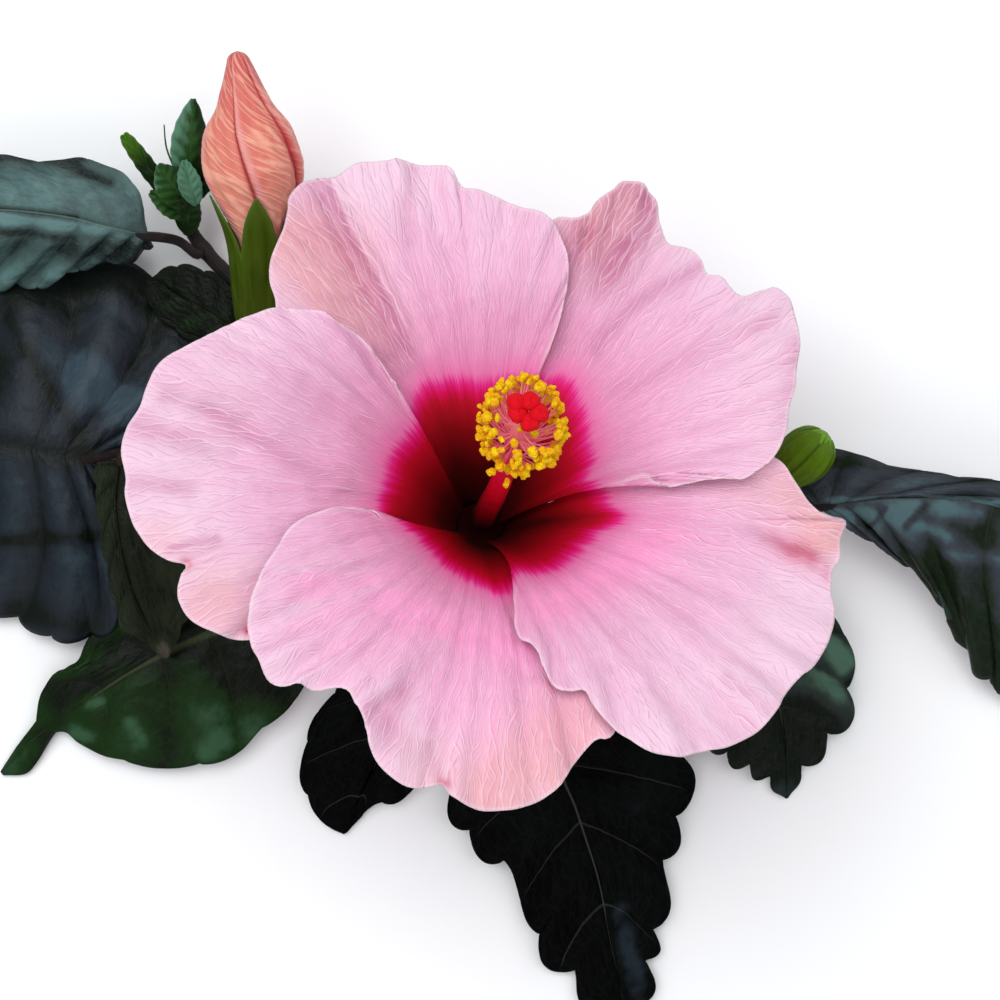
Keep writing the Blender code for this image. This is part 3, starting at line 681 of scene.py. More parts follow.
@dataclass(frozen=True)
class PetalFinish:
    """Pink satin with a fine raised network of veins, a crimson throat and peach patches, and painted shade and light.
    """

    # The darkest stops, deep in the throat, are partly the petal's crimson and partly painted shade.
    throat: tuple[tuple[float, Colour], ...] = (  # mm outside the throat's edge, colour
        (-19, (40, 0, 0)), (-12, (84, 0, 3)), (-7, (150, 0, 12)), (-3, (204, 0, 38)), (-1.4, (238, 0, 96)),
        (-0.2, (248, 44, 150)), (1.2, (252, 130, 190)), (5, (252, 160, 206)), (16, (253, 190, 224)),
        (36, (255, 216, 237)),
    )
    reach: tuple[float, float] = (-20.0, 40.0)
    pale: Colour = (268, 222, 240)
    deep: Colour = (240, 146, 194)
    # Painted shade, painted light, and the painted shade of the peach patches, in that order.
    shade: Colour = (212, 132, 172)
    painted_light: Colour = (282, 168, 228)
    painted_peach_shade: Colour = (204, 116, 142)
    peach: Colour = (246, 180, 182)
    # Dark marks at the nicks, and painted shade along the furrows.
    scorch: Colour = (214, 56, 104)
    # A painted highlight along the margins and the sharp ridges.
    edge: Colour = (262, 232, 242)

    def lines(self, tree: ShaderTree, flow: tuple[Socket, Socket], number: float, slant: float, width: float) -> list:
        """Wandering lines along the petal, and the furrows beside them, which are also painted in shade.

        Args:
            tree: The material's nodes.
            flow: The surface coordinates.
            number: How many lines there are for one unit of the first coordinate.
            slant: How far they lean across.
            width: Their half-width, as a share of their spacing.

        Returns:
            How strongly the lines show, and how strongly the furrows do.
        """
        side, v = flow
        drift = tree.noise(tree.vector(side * (number * 0.4), v * 9.0 + slant), detail=1.0)
        phase = (side * number + v * slant + drift * width * 10.0).fraction()
        return [abs(phase - 0.5).fall(width * 0.2, width), abs(phase - 0.5 - width).fall(0.0, width)]

    def material(self) -> bpy.types.Material:
        """Makes the material.

        Returns:
            The material.
        """
        tree = ShaderTree("petal")
        u, v = tree.flow()
        place = tree.place()
        soft = tree.noise(place, 60.0)
        curl = tree.noise(place, 240.0)
        fine = tree.noise(place, 700.0, 3.0)
        flare = tree.noise(tree.vector(u * 20.0, v * 3.0))
        fringe = tree.noise(tree.vector(u * 110.0, v * 6.0), detail=3.0) - 0.5
        throat = tree.value("throat")
        out = throat + fringe * 4.0 * throat.rise(-9.0, -1.0)
        low, high = self.reach
        colour = tree.ramp((out - low) / (high - low), [((mm - low) / (high - low), c) for mm, c in self.throat])
        side = u + (soft - 0.5) * 0.02 + (curl - 0.5) * 0.01
        fade = tree.noise(tree.vector(side * 34.0, v * 12.0), detail=1.0).rise(0.36, 0.62)
        veins, beside = None, None
        for number, slant, width, share in (
            (84.0, 15.0, 0.17, fade), (84.0, -15.0, 0.17, 1.1 - fade), (34.0, 1.5, 0.08, 0.3 + soft),
        ):
            line, furrow = (strength * share for strength in self.lines(tree, (side, v), number, slant, width))
            veins = veins.larger(line) if veins else line
            beside = beside.larger(furrow) if beside else furrow
        beside = (beside - veins).larger(0.0)
        blade = out.rise(0.5, 6.0)
        # Painted shade above zero, and painted light below zero.
        flush = tree.value("flush")
        blush = tree.value("blush") * (0.6 + fine * 0.6)
        colour = tree.layers(
            colour,
            (flare.rise(0.38, 0.7) * blade * 0.32, self.deep),
            (blush, self.peach),
            # Painted light where the painted shading is below zero.
            ((0.0 - flush).larger(0.0) * blade, self.painted_light),
            # Painted shade, a duller pink, and a duller peach on the peach patches.
            (flush.larger(0.0) * (0.5 + curl) * blade, tree.mix(blush, self.shade, self.painted_peach_shade)),
            # Painted shade in the furrow beside each vein.
            (beside * blade * 0.3, self.shade),
            (veins * blade * (0.2 + soft * 0.6), self.pale),
            # Dark marks at the nicks, and painted shade along the furrows.
            (tree.value("scorch") * (0.5 + curl), self.scorch),
            # Painted highlight along the margins and along the sharp ridges.
            (tree.value("rim").fall(0.1, 0.8) * blade * 0.6, self.edge),
        )
        height = veins * (0.2 + blade * 0.6) - beside * blade * 0.2 + fine * 0.35
        return tree.finish(colour, 0.56 - veins * 0.08, height, 0.11, specular=0.22)


@dataclass(frozen=True)
class LeafFinish:
    """A leaf's skin: painted shade in the furrows over its veins and painted light on the domes between them."""

    name: str
    deep: Colour
    mid: Colour
    # The colour of a painted sheen on the leaf.
    bloom: Colour
    vein: Colour
    stalk: Colour = (44, 36, 34)
    midrib_share: float = 0.5
    midrib_width: float = 0.026
    vein_share: float = 0.1
    net_share: float = 0.06
    # How strongly the painted light on the domes shows.
    relief: float = 0.5
    specular: float = 0.2

    def material(self) -> bpy.types.Material:
        """Makes the material. A vein lies at every half between whole numbers of its order.

        Returns:
            The material.
        """
        tree = ShaderTree(self.name)
        u, v = tree.flow()
        place = tree.place()
        across = abs(v - 0.5) * 2.0
        warp = tree.noise(place, 180.0) - 0.5
        order = u * VEIN_SCALE + warp * 0.1
        off_vein = abs(order.fraction() - 0.5)
        side_vein = off_vein.fall(0.006, 0.028 - across * 0.015) * across.fall(0.8, 0.98)
        midrib = across.fall(self.midrib_width * 0.3, self.midrib_width)
        net = tree.cells(tree.vector(order * 5.0 + warp * 0.8, across * 11.0 + warp * 0.8))
        fine_net = tree.cells(tree.vector(order * 14.0, across * 32.0))
        soft = tree.noise(place, 55.0, 3.0)
        fine = tree.noise(place, 700.0, 3.0)
        # Painted light: the blade's bands of painted sheen and shade, and its domes painted lighter than its vein
        # furrows.
        tone = tree.value("tone") * (0.4 + tree.noise(place, 240.0) * 1.2)
        level = tree.value("dome") * self.relief + tone + (soft - 0.5) * 1.3 + (fine - 0.5) * 0.3
        colour = tree.layers(
            self.deep,
            (level.rise(-0.1, 0.5), self.mid),
            # Painted sheen.
            (level.rise(0.45, 1.1), self.bloom),
            (net.fall(0.02, 0.1) * self.net_share, self.vein),
            (side_vein * self.vein_share, self.vein),
            (midrib * self.midrib_share, self.vein),
            (tree.value("under") * 0.2, self.bloom),
            (tree.value("stalk"), self.stalk),
        )
        height = fine_net.rise(0.0, 0.3) * 0.2 + net.rise(0.0, 0.3) * 0.5 + fine * 0.15 - side_vein * 0.6
        roughness = 0.42 + (fine - 0.5) * 0.16 + side_vein * 0.1
        return tree.finish(colour, roughness, height, 0.12, specular=self.specular)


@dataclass(frozen=True)
class StreakFinish:
    """A skin that runs through colours from one end to the other, with fine lines along it."""

    name: str
    along: tuple[tuple[float, Colour], ...]
    line: Colour
    lines: float
    line_share: float
    line_width: float = 0.2
    slant: float = 0.0
    roughness: float = 0.5
    mottle: Colour = (44.77, 44.77, 44.77)
    mottle_share: float = 0.3
    # Painted shade in creases and seams.
    crease: Colour = (0, 0, 0)
    rim: Colour = (0, 0, 0)
    relief: float = 0.15
    specular: float = 0.2

    def material(self) -> bpy.types.Material:
        """Makes the material.

        Returns:
            The material.
        """
        tree = ShaderTree(self.name)
        u, v = tree.flow()
        place = tree.place()
        soft = tree.noise(place, 150.0, 3.0)
        fine = tree.noise(place, 900.0, 3.0)
        colour = tree.ramp(v + (soft - 0.5) * 0.12, self.along)
        turn = u * self.lines + v * self.slant + (soft - 0.5) * 0.9
        lines = tree.cells(tree.vector(turn, v * 5.0 + fine * 0.1)).fall(0.02, self.line_width)
        colour = tree.layers(
            colour,
            (soft.rise(0.45, 0.75) * self.mottle_share, self.mottle),
            (lines * self.line_share, self.line),
            (tree.value("rim"), self.rim),
            # Painted shade in creases and seams.
            (tree.value("crease"), self.crease),
        )
        roughness = self.roughness + (fine - 0.5) * 0.15
        return tree.finish(colour, roughness, lines * 0.5 + fine * 0.5, self.relief, specular=self.specular)


@dataclass(frozen=True)
class StamenFinish:
    """The column and its threads, crimson at the foot and pink above, and the grains of pollen."""

    # The near-black foot is partly painted shade deep in the trumpet.
    flesh: tuple[tuple[float, Colour], ...] = (
        (0.1, (44, 0, 2)), (0.5, (230, 4, 44)), (0.8, (226, 24, 84)), (0.9, (286, 168, 184)),
    )
    pollen: Colour = (286, 238, 14)
    husk: Colour = (286, 200, 0)

    def material(self) -> bpy.types.Material:
        """Makes the material.

        Returns:
            The material.
        """
        tree = ShaderTree("anther")
        place = tree.place()
        pollen = tree.value("pollen")
        grain = tree.cells(place, 2600.0).rise(0.0, 0.35)
        grains = tree.mix(tree.noise(place, 900.0, 3.0).rise(0.35, 0.62), self.husk, self.pollen)
        colour = tree.mix(pollen, tree.ramp(tree.value("rise"), self.flesh), grains)
        return tree.finish(colour, 0.5 + pollen * 0.3, grain * pollen, 0.18, 0.9)


@dataclass(frozen=True)
class VelvetFinish:
    """Red velvet of tiny hairs."""

    colour: Colour = (244, 0, 24)
    tips: Colour = (255, 30, 60)

    def material(self) -> bpy.types.Material:
        """Makes the material.

        Returns:
            The material.
        """
        tree = ShaderTree("stigma")
        hairs = tree.cells(tree.place(), 3800.0)
        return tree.finish(tree.mix(hairs.rise(0.15, 0.5), self.colour, self.tips), 0.7, hairs, 0.2, 0.9, 0.15)


class Finish(Enum):
    """Every finish on the sprig."""

    PETAL = PetalFinish()
    TEAL_LEAF = LeafFinish("teal_leaf", (26, 38, 36), (64, 86, 84), (100, 134, 133), (116, 146, 138))
    # Its dark vein colour is painted shade in the sunken veins.
    BLUE_LEAF = LeafFinish(
        "blue_leaf", (7, 15, 8), (31, 38, 46), (54, 72, 82), (14, 20, 18),
        vein_share=0.5, relief=0.55, specular=0.14,
    )
    GREEN_LEAF = LeafFinish(
        "green_leaf", (4, 12, 2), (15, 46, 5), (52, 88, 60), (72, 80, 52), (50, 40, 30),
        midrib_share=0.7, midrib_width=0.06, relief=0.4, specular=0.1,
    )
    BLACK_LEAF = LeafFinish(
        "black_leaf", (1, 2, 1), (6, 9, 8), (38, 48, 56), (84, 84, 84), (34, 28, 26),
        vein_share=0.25, net_share=0.02, relief=0.25, specular=0.03,
    )
    GREY_LEAF = LeafFinish(
        "grey_leaf", (20, 32, 16), (55, 60, 68), (78, 106, 110), (72, 88, 70), relief=0.7, specular=0.12,
    )
    MOSS_LEAF = LeafFinish(
        "moss_leaf", (8, 16, 8), (40, 50, 46), (80, 114, 96), (70, 86, 62), relief=0.7, specular=0.1,
    )
    BROWN_LEAF = LeafFinish(
        "brown_leaf", (20, 26, 14), (33, 41, 25), (84, 78, 68), (66, 58, 48), (60, 44, 36),
        relief=0.3, specular=0.08,
    )
    YOUNG_LEAF = LeafFinish(
        "young_leaf", (14, 40, 0), (42, 86, 28), (100, 152, 122), (96, 136, 92), (78, 130, 10), relief=0.25,
    )
    BARK = StreakFinish(
        "bark", ((0.0, (50, 36, 34)), (0.6, (34, 25, 29)), (1.0, (36, 32, 30))), (72, 56, 52), 9.0, 0.35,
        mottle=(24, 18, 20), relief=0.3, roughness=0.62,
    )
    GREEN_STEM = StreakFinish(
        "green_stem", ((0.0, (52, 40, 36)), (0.5, (54, 58, 30)), (1.0, (66, 88, 30))), (110, 116, 70), 7.0, 0.3,
    )
    # A calyx's crease colour is painted shade in its seams.
    CALYX = StreakFinish(
        "calyx", ((0.0, (56, 70, 6)), (0.4, (62, 82, 4)), (0.8, (66, 90, 4)), (1.0, (84, 114, 22))),
        (92, 112, 30), 15.0, 0.16, mottle=(34, 46, 0), crease=(20, 28, 0), rim=(96, 128, 50), specular=0.06,
    )
    FRESH_CALYX = StreakFinish(
        "fresh_calyx", ((0.0, (62, 76, 0)), (0.4, (88, 120, 6)), (0.8, (110, 164, 20)), (1.0, (122, 180, 40))),
        (116, 152, 44), 15.0, 0.14, mottle=(70, 90, 2), mottle_share=0.5, crease=(46, 64, 2), rim=(98, 130, 46),
        specular=0.08,
    )
    # Its crease colour is painted shadow along each petal's overlapping edge.
    CORAL = StreakFinish(
        "coral", ((0.0, (246, 172, 154)), (0.45, (243, 152, 130)), (0.75, (233, 124, 110)), (1.0, (216, 92, 92))),
        (268, 206, 176), 22.0, 0.5, line_width=0.13, slant=34.0, mottle=(222, 100, 94), mottle_share=0.4,
        crease=(178, 28, 48), rim=(248, 172, 168), relief=0.2, roughness=0.45,
    )
    ANTHER = StamenFinish()
    STIGMA = VelvetFinish()


@cache
def material_of(finish: Finish) -> bpy.types.Material:
    """A finish's material, made when it is first asked for."""
    return finish.value.material()


# ---- Stems


@dataclass
class Stem:
    """A stem, twig or stalk: a bark-covered tube along a smooth centre line.

    Attributes:
        name: The CAD node that it stands for.
        grows_from: The stem that it leaves and how far along it, or None for the cut stem.
        path: The points of its centre line after its foot.
        radii: Its radius at its start and end.
        finish: Its finish.
        slot: Its material slot.
        nodes: Shares of its length where it swells.
        carries: Where it ends and the way it points there, if it carries a bloom or a bud.
    """

    name: str
    grows_from: tuple[str, float] | None
    path: Sequence[Place]
    radii: tuple[float, float]
    finish: Finish
    slot: str
    nodes: tuple[float, ...] = ()
    carries: tuple[Array, Array] | None = None

    GAP = 0.3
    RUN_OUT = 1.5
    RUN_IN = 4.0
    RINGS = 150
    SIDES = 36
    LOWEST = 2.85

    def centre_line(self) -> Array:
        """The points that the centre line runs through, from the stem it grows from to what it carries.

        Returns:
            An (n, 3) array.
        """
        points = [np.array(point, float) for point in self.path]
        if self.carries:
            end, way = self.carries
            points += [end - way * self.RUN_IN, end - way * self.RUN_IN / 4, end]
        if self.grows_from:
            points = [*foot_on(*self.grows_from, points[0]), *points]
        return np.array(points)

    def foot(self, share: float, towards: Array) -> tuple[Array, Array]:
        """The first two points of a side piece, clear of this stem's bark and square to it.

        Args:
            share: How far along this stem it leaves.
            towards: Where the side piece goes.

        Returns:
            The two points.
        """
        steps = 100
        path = smooth_path(self.centre_line(), steps + 1)
        index = int(round(steps * share))
        if index == steps:
            way = unit(path[-1] - path[-2])
            foot = path[-1] + way * self.GAP
        else:
            tangent = unit(path[index + 1] - path[index - 1])
            way = np.asarray(towards, float) - path[index]
            way = unit(way - tangent * way.dot(tangent))
            foot = path[index] + way * (self.radii[0] + (self.radii[1] - self.radii[0]) * share + self.GAP)
        return foot, foot + way * self.RUN_OUT

    def build(self) -> None:
        """Makes the stem.

        Its radius r at the share t of its length and the turn a is the taper, plus a swelling at
        each node, plus ridges, sin 5a and sin 9a, that wander along it, plus small random lumps.
        """
        path = smooth_path(self.centre_line(), self.RINGS)
        path[:, 2] = np.maximum(path[:, 2], self.LOWEST)
        share, turn = rise(self.RINGS), whole_turn(self.SIDES)
        radius = self.radii[0] + (self.radii[1] - self.radii[0]) * share
        swell = sum((0.16 * np.exp(-(((share - at) / 0.018) ** 2)) for at in self.nodes), np.zeros_like(share))
        ridges = 0.035 * np.sin(5 * turn + 4 * share) + 0.02 * np.sin(9 * turn - 7 * share)
        seed = len(self.name)
        lumps = 0.05 * patches(share * 60, 2 + 2 * np.cos(turn) + share, seed)
        lumps = lumps + 0.03 * patches(share * 150, 9 + 5 * np.sin(turn) + share, seed + 1)
        skin = tube(path, radius * (1 + swell + ridges + lumps), self.SIDES)
        skin.piece("skin_of_" + self.name, self.name, self.finish, self.slot)


# ---- Leaves


@dataclass
class Leaf:
    """A toothed leaf blade with sunken veins, and its petiole.

    Attributes:
        name: The CAD node that it stands for.
        finish: Its finish.
        slot: Its material slot.
        grows_from: The stem that its petiole leaves and how far along it.
        petiole: The petiole's points.
        midrib: The midrib's points, from base to tip.
        left: The left margin's points, from base to tip.
        right: The right margin's points.
        painted_light_and_shade_bands: Bands of painted sheen, and of painted shade where the strength is below zero:
            the strength and the width of each, and its places.
        veins: How many side veins each half has.
        teeth: How many teeth lie between two veins on the left, and on the right.
        notches: Shares of the left margin, and of the right, where its teeth part, if they aren't even.
        tooth: How far the teeth stand out on the left, and on the right.
        quilt: How far the blade domes up between two veins.
        pleat: How far it folds up and down from vein to vein.
        arch: How far each half bulges up, as a share of its width.
        lag: How much nearer the base a vein leaves the midrib than it meets the margin.
        bend: How far a vein bows towards the base.
        soften: How much of the quilting and the pleats, and of the painted light on the domes, shows on the left, and
            on the right.
        rows: How many rows its mesh has.
    """

    name: str
    finish: Finish
    slot: str
    grows_from: tuple[str, float]
    petiole: Sequence[Place]
    midrib: Sequence[Place]
    left: Sequence[Place]
    right: Sequence[Place]
    painted_light_and_shade_bands: Sequence[tuple[float, ...]] = ()
    veins: float = 7.0
    teeth: tuple[int, int] = (1, 1)
    notches: tuple[tuple[float, ...], tuple[float, ...]] = ((), ())
    tooth: tuple[float, float] = (1.2, 1.2)
    quilt: float = 0.7
    pleat: float = 0.0
    arch: tuple[float, float] = (0.08, 0.08)
    lag: float = 1.4
    bend: float = 0.12
    soften: tuple[float, float] = (1.0, 1.0)
    rows: int = 201

    HALF_COLUMNS = 38
    THICKNESS = 0.5
    PETIOLE_RADIUS = 1.0
    LOWEST = 0.45

    def saw(self, side: int) -> Array:
        """How far each row's margin stands out: a lobe that swells towards the tip, then steps in.

        Args:
            side: 0 for the left and 1 for the right.

        Returns:
            Millimetres for each row.
        """
        t = rise(self.rows)[:, 0]
        even = np.arange(1, self.veins * self.teeth[side]) / (self.veins * self.teeth[side])
        knots = np.array([0, *(self.notches[side] or even), 1])
        place = np.interp(t, knots, np.arange(len(knots))) % 1
        size = self.tooth[side] * smooth_step(t, 0.0, 0.1) * (1 - smooth_step(t, 0.9, 1.0))
        return (np.sin(math.pi * place**1.5) ** 0.6 - 0.7) * size * (1 + 0.2 * patches(t * 9, 0, len(self.name)))

    def half(self, side: int) -> Array:
        """One half of the blade, as rows from base to tip and columns from midrib to margin.

        A row runs from the midrib at t to the power lag to the margin at t, along a quadratic
        Bezier curve whose control point stands the arch above the straight line's middle. The
        margin is pushed out by its saw.

        Args:
            side: 0 for the left and 1 for the right.

        Returns:
            A (rows, columns, 3) grid.
        """
        fine = even_path(self.midrib, 4 * self.rows)
        spine = along_path(fine, np.linspace(0, 1, len(fine)), rise(self.rows)[:, 0] ** self.lag)
        margin = even_path((self.left, self.right)[side], self.rows)
        run = unit(np.gradient(margin, axis=0))
        out = margin - spine
        out = unit(out - run * (out * run).sum(1, keepdims=True))
        margin = margin + out * self.saw(side)[:, None]
        width = np.linalg.norm(margin - spine, axis=1)[:, None]
        control = (spine + margin) / 2 + UP * self.arch[side] * width
        return arc(spine[:, None], control[:, None], margin[:, None], rise(self.HALF_COLUMNS))

    def blade(self) -> Surface:
        """Both halves as one sheet, quilted between the veins.

        A vein lies where veins (t + bend s (1 - s)) is a half more than a whole number.

        Returns:
            The sheet, with the blade's domes and tones as values.
        """
        left, right = self.half(0), self.half(1)
        grid = np.concatenate([right[:, :0:-1], left], axis=1)
        s = np.linspace(-1, 1, grid.shape[1])[None]
        across = np.abs(s)
        t = rise(self.rows)
        order = self.veins * (t + self.bend * across * (1 - across) * smooth_step(t, 0.0, 0.3))
        off_vein = np.abs(order % 1 - 0.5) * 2
        width = np.linalg.norm(left[:, -1] - right[:, -1], axis=1)[:, None]
        room = smooth_step(width / width.max(), 0.0, 0.5)
        body = smooth_step(across, 0.0, 0.22) * (1 - 0.45 * smooth_step(across, 0.75, 1.0)) * room
        dome = np.sin(off_vein * math.pi / 2) ** 0.8
        strength = np.where(s > 0, *self.soften)
        ladder = np.abs(np.sin(math.pi * (6 * across + 0.6 * patches(order * 2, across * 3, 5)))) ** 0.6
        seed = len(self.midrib) + len(self.left)
        lift = self.quilt * (dome * (0.75 + 0.25 * ladder) - 0.5) * body * strength
        lift = lift + self.pleat * np.cos(TURN * order) * smooth_step(across, 0.1, 0.6) * room * strength
        lift = lift + 0.5 * patches(order * 0.9 + 3 * (s > 0), across * 2.2, seed) * body
        lift = lift + 0.14 * patches(order * 4, across * 14, seed + 1) * body
        lift = lift - 0.35 * np.exp(-((across / 0.035) ** 2)) * room
        # Bands of painted sheen and painted shade.
        bands = [Mark(np.reshape(places, (-1, 2)), strength, width) for strength, width, *places in self.painted_light_and_shade_bands]
        tone = total(bands, grid[..., :2])
        grid = grid + surface_normals(grid) * lift[..., None]
        grid[..., 2] = np.maximum(grid[..., 2], self.LOWEST + self.THICKNESS / 2 + 0.15 * dome * (1 - across))
        flow = np.stack(np.broadcast_arrays(order / VEIN_SCALE, 0.5 + 0.5 * s), axis=-1)
        # Painted light: domes lighter and vein furrows darker, faded out near the midrib.
        shown = (0.6 + (dome - 0.6) * strength) * smooth_step(across, 0.0, 0.12)
        return sheet(grid, self.THICKNESS, flow, {"dome": shown, "tone": tone})

    def build(self) -> None:
        """Makes the leaf. Its petiole runs on under the blade as a rib that thins out."""
        spine = even_path(self.midrib, 60)
        points = [*foot_on(*self.grows_from, np.array(self.petiole[0])), *self.petiole]
        points += [spine[0] - UP * 0.3] + [spine[k] - UP * (0.9 + 0.2 * (k < 8)) for k in (3, 8, 20, 36, 56)]
        path = even_path(points, 120)
        stalk = len(path) - 1 - np.argmin(np.linalg.norm(path[::-1] - spine[0], axis=1))
        radii = np.full(len(path), self.PETIOLE_RADIUS)
        thin, thinnest = rise(len(path) - stalk)[:, 0], 0.2
        radii[stalk:] = thinnest + (self.PETIOLE_RADIUS - thinnest) * np.exp(-14 * thin)
        path[:, 2] = np.maximum(path[:, 2], radii + 0.1)
        leaf = Surface.joined([self.blade(), tube(path, radii, 14, stalk=1.0)])
        leaf.piece("blade_of_" + self.name, self.name, self.finish, self.slot)


# ---- The bloom


@dataclass
class Corolla:
    """The frame and the trumpet that the bloom's parts share.

    Attributes:
        base: Where the petals start.
        tilt: How far its axis leans, in degrees.
        towards: The way it leans, in degrees.
        depth: The trumpet's depth.
        flare: How soon it flares.
        throat: Its radius at the base.
    """

    base: Place = (-4.0, -5.0, 24.0)
    tilt: float = 17.0
    towards: float = 63.0
    depth: float = 44.0
    flare: float = 17.0
    throat: float = 4.4

    LONGEST = 68.0
    RUFFLES = ((1.0, 5, 0.6), (0.8, 9, 2.1), (0.4, 16, 1.0))

    def axes(self) -> Array:
        """Its own axes as rows: two across it and one along it."""
        lean, way = math.radians(self.tilt), math.radians(self.towards)
        axis = np.array([math.sin(lean) * math.cos(way), math.sin(lean) * math.sin(way), math.cos(lean)])
        return axes_along(axis, (0.0, 1.0, 0.0))

    def to_world(self, local: Any) -> Array:
        """Points in the bloom's own frame, put in the sprig's."""
        return np.array(self.base) + np.asarray(local, float) @ self.axes()

    def height(self, radius: Array) -> Array:
        """How high the trumpet stands at a distance from its axis."""
        return self.depth * (1 - np.exp(-(radius - self.throat) / self.flare))

    def slope(self, radius: Array) -> Array:
        """How steep its wall is there."""
        return self.depth / self.flare * np.exp(-(radius - self.throat) / self.flare)

    def ruffle(self, angle: Array, radius: Array) -> Array:
        """The waves that lift and drop it towards its margin."""
        waves = sum(size * np.sin(count * angle + phase) for size, count, phase in self.RUFFLES)
        return smooth_step(radius, 22, 67) * waves


COROLLA = Corolla()


@dataclass
class Petal:
    """A petal of the bloom. The places on it are in degrees and millimetres round the bloom's axis.

    Attributes:
        name: The CAD node that it stands for.
        claw: The angle at which it leaves the bloom's base.
        margin: Its margin, from one side of its claw round to the other.
        folds: Its folds.
        blushes: Its peach patches.
        nicks_and_painted_furrow_shades: Its dark spots: dark marks at nicks in its margin, and painted shade along its
            furrows.
        painted_shading_marks: Painted shade, a deeper pink, and painted light, a brighter one where the strength is
            below zero.
        wines: Where its crimson throat reaches farther out, in millimetres.
        painted_ridge_highlights: Sharp ridges, with the same painted highlight as its margin.
        crumple: How strongly it is crumpled.
    """

    name: str
    claw: float
    margin: Sequence[Point]
    folds: Sequence[Mark] = ()
    blushes: Sequence[Mark] = ()
    nicks_and_painted_furrow_shades: Sequence[Mark] = ()
    painted_shading_marks: Sequence[Mark] = ()
    wines: Sequence[Mark] = ()
    painted_ridge_highlights: Sequence[Mark] = ()
    crumple: float = 0.45

    GAP = 0.3
    HALF_CLAW = 38.0
    PITCH = 72.0
    CAD_THICKNESS = 0.8
    STACK = (0.9, 3.4)
    FLOW = (110, 75)
    ROWS = 110
    COLUMNS = 190
    THROAT_EDGE = (
        (4, 18.7), (8, 17.6), (17, 19.4), (29, 19.9), (38, 21.2), (47, 22.4), (54, 23.6), (60, 23.4),
        (66, 22.0), (73, 22.3), (87, 21.1), (98, 20.6), (113, 21.9), (124, 23.1), (130, 22.2),
        (136, 21.1), (145, 19.7), (157, 20.5), (166, 21.0), (176, 20.7), (187, 21.6), (196, 21.6),
        (205, 20.0), (211, 18.6), (221, 17.6), (239, 17.8), (258, 17.9), (267, 19.6), (278, 18.0),
        (286, 16.6), (295, 18.3), (307, 19.0), (327, 19.1), (336, 20.3), (341, 22.2), (345, 23.3),
        (350, 20.9), (355, 19.6),
    )

    def build(self) -> None:
        """Makes the petal.

        Rays fan out from its claw to points along its margin. A ray at the share k of the way has
        the angle claw + (edge - claw) k to the power 0.8 and the radius from the throat's to the
        edge's. The surface stands on the trumpet, and each petal is lifted on one side over its
        neighbour. On it lie pleats that fan out, folds, margin waves and crumples.
        """
        edge = even_path(polar(self.margin), self.COLUMNS)
        middle = math.radians(self.claw)
        edge_angle = middle + np.angle(np.exp(1j * (np.arctan2(edge[:, 1], edge[:, 0]) - middle)))
        edge_radius = np.linalg.norm(edge, axis=1)
        claw = middle + math.radians(self.HALF_CLAW) * np.linspace(-1, 1, self.COLUMNS)
        along = rise(self.ROWS) ** 0.9
        angle = claw + (edge_angle - claw) * along**0.8
        radius = COROLLA.throat + (edge_radius - COROLLA.throat) * along
        aside = (angle - middle) / math.radians(self.PITCH / 2)
        reach = (radius - COROLLA.throat) / (COROLLA.LONGEST - COROLLA.throat)
        stack = self.STACK[0] + (self.STACK[1] - self.STACK[0]) * reach
        slope = COROLLA.slope(radius)
        lift = -stack * aside * self.PITCH / 90
        steep = np.hypot(slope, 1)
        out = radius - lift * slope / steep
        height = COROLLA.height(radius) + lift / steep + COROLLA.ruffle(angle, radius)
        grid = COROLLA.to_world(about_axis(out, angle, height + self.GAP + self.CAD_THICKNESS / 2))
        where = about_axis(radius, angle, 0)[..., :2]
        rim = np.linalg.norm(where[:, :, None] - edge[None, None], axis=-1).min(axis=2)
        # Painted shade, and painted light where it is below zero.
        flush = np.clip(total(self.painted_shading_marks, where), -1, 1)
        grid = grid + surface_normals(grid) * self.relief(angle, radius, where, rim, flush)[..., None]
        degrees = np.degrees(angle)
        turns, edges = np.array(self.THROAT_EDGE, float).T
        values = {
            "throat": radius - total(self.wines, where) - np.interp(degrees % 360, turns, edges, period=360),
            # rim also lays a painted highlight along the margin and the sharp ridges.
            "rim": rim * (1 - np.clip(total(self.painted_ridge_highlights, where), 0, 1)),
            "flush": flush,
            "blush": np.clip(total(self.blushes, where), 0, 1),
            "scorch": np.clip(total(self.nicks_and_painted_furrow_shades, where), 0, 1),
        }
        flow = np.stack([(degrees - self.claw) / self.FLOW[0] + 0.5, radius / self.FLOW[1]], axis=-1)
        surface = sheet(grid, 0.25 + 0.35 * np.exp(-reach * 4), flow, values)
        surface.piece("fine_" + self.name, self.name, Finish.PETAL, "petal")

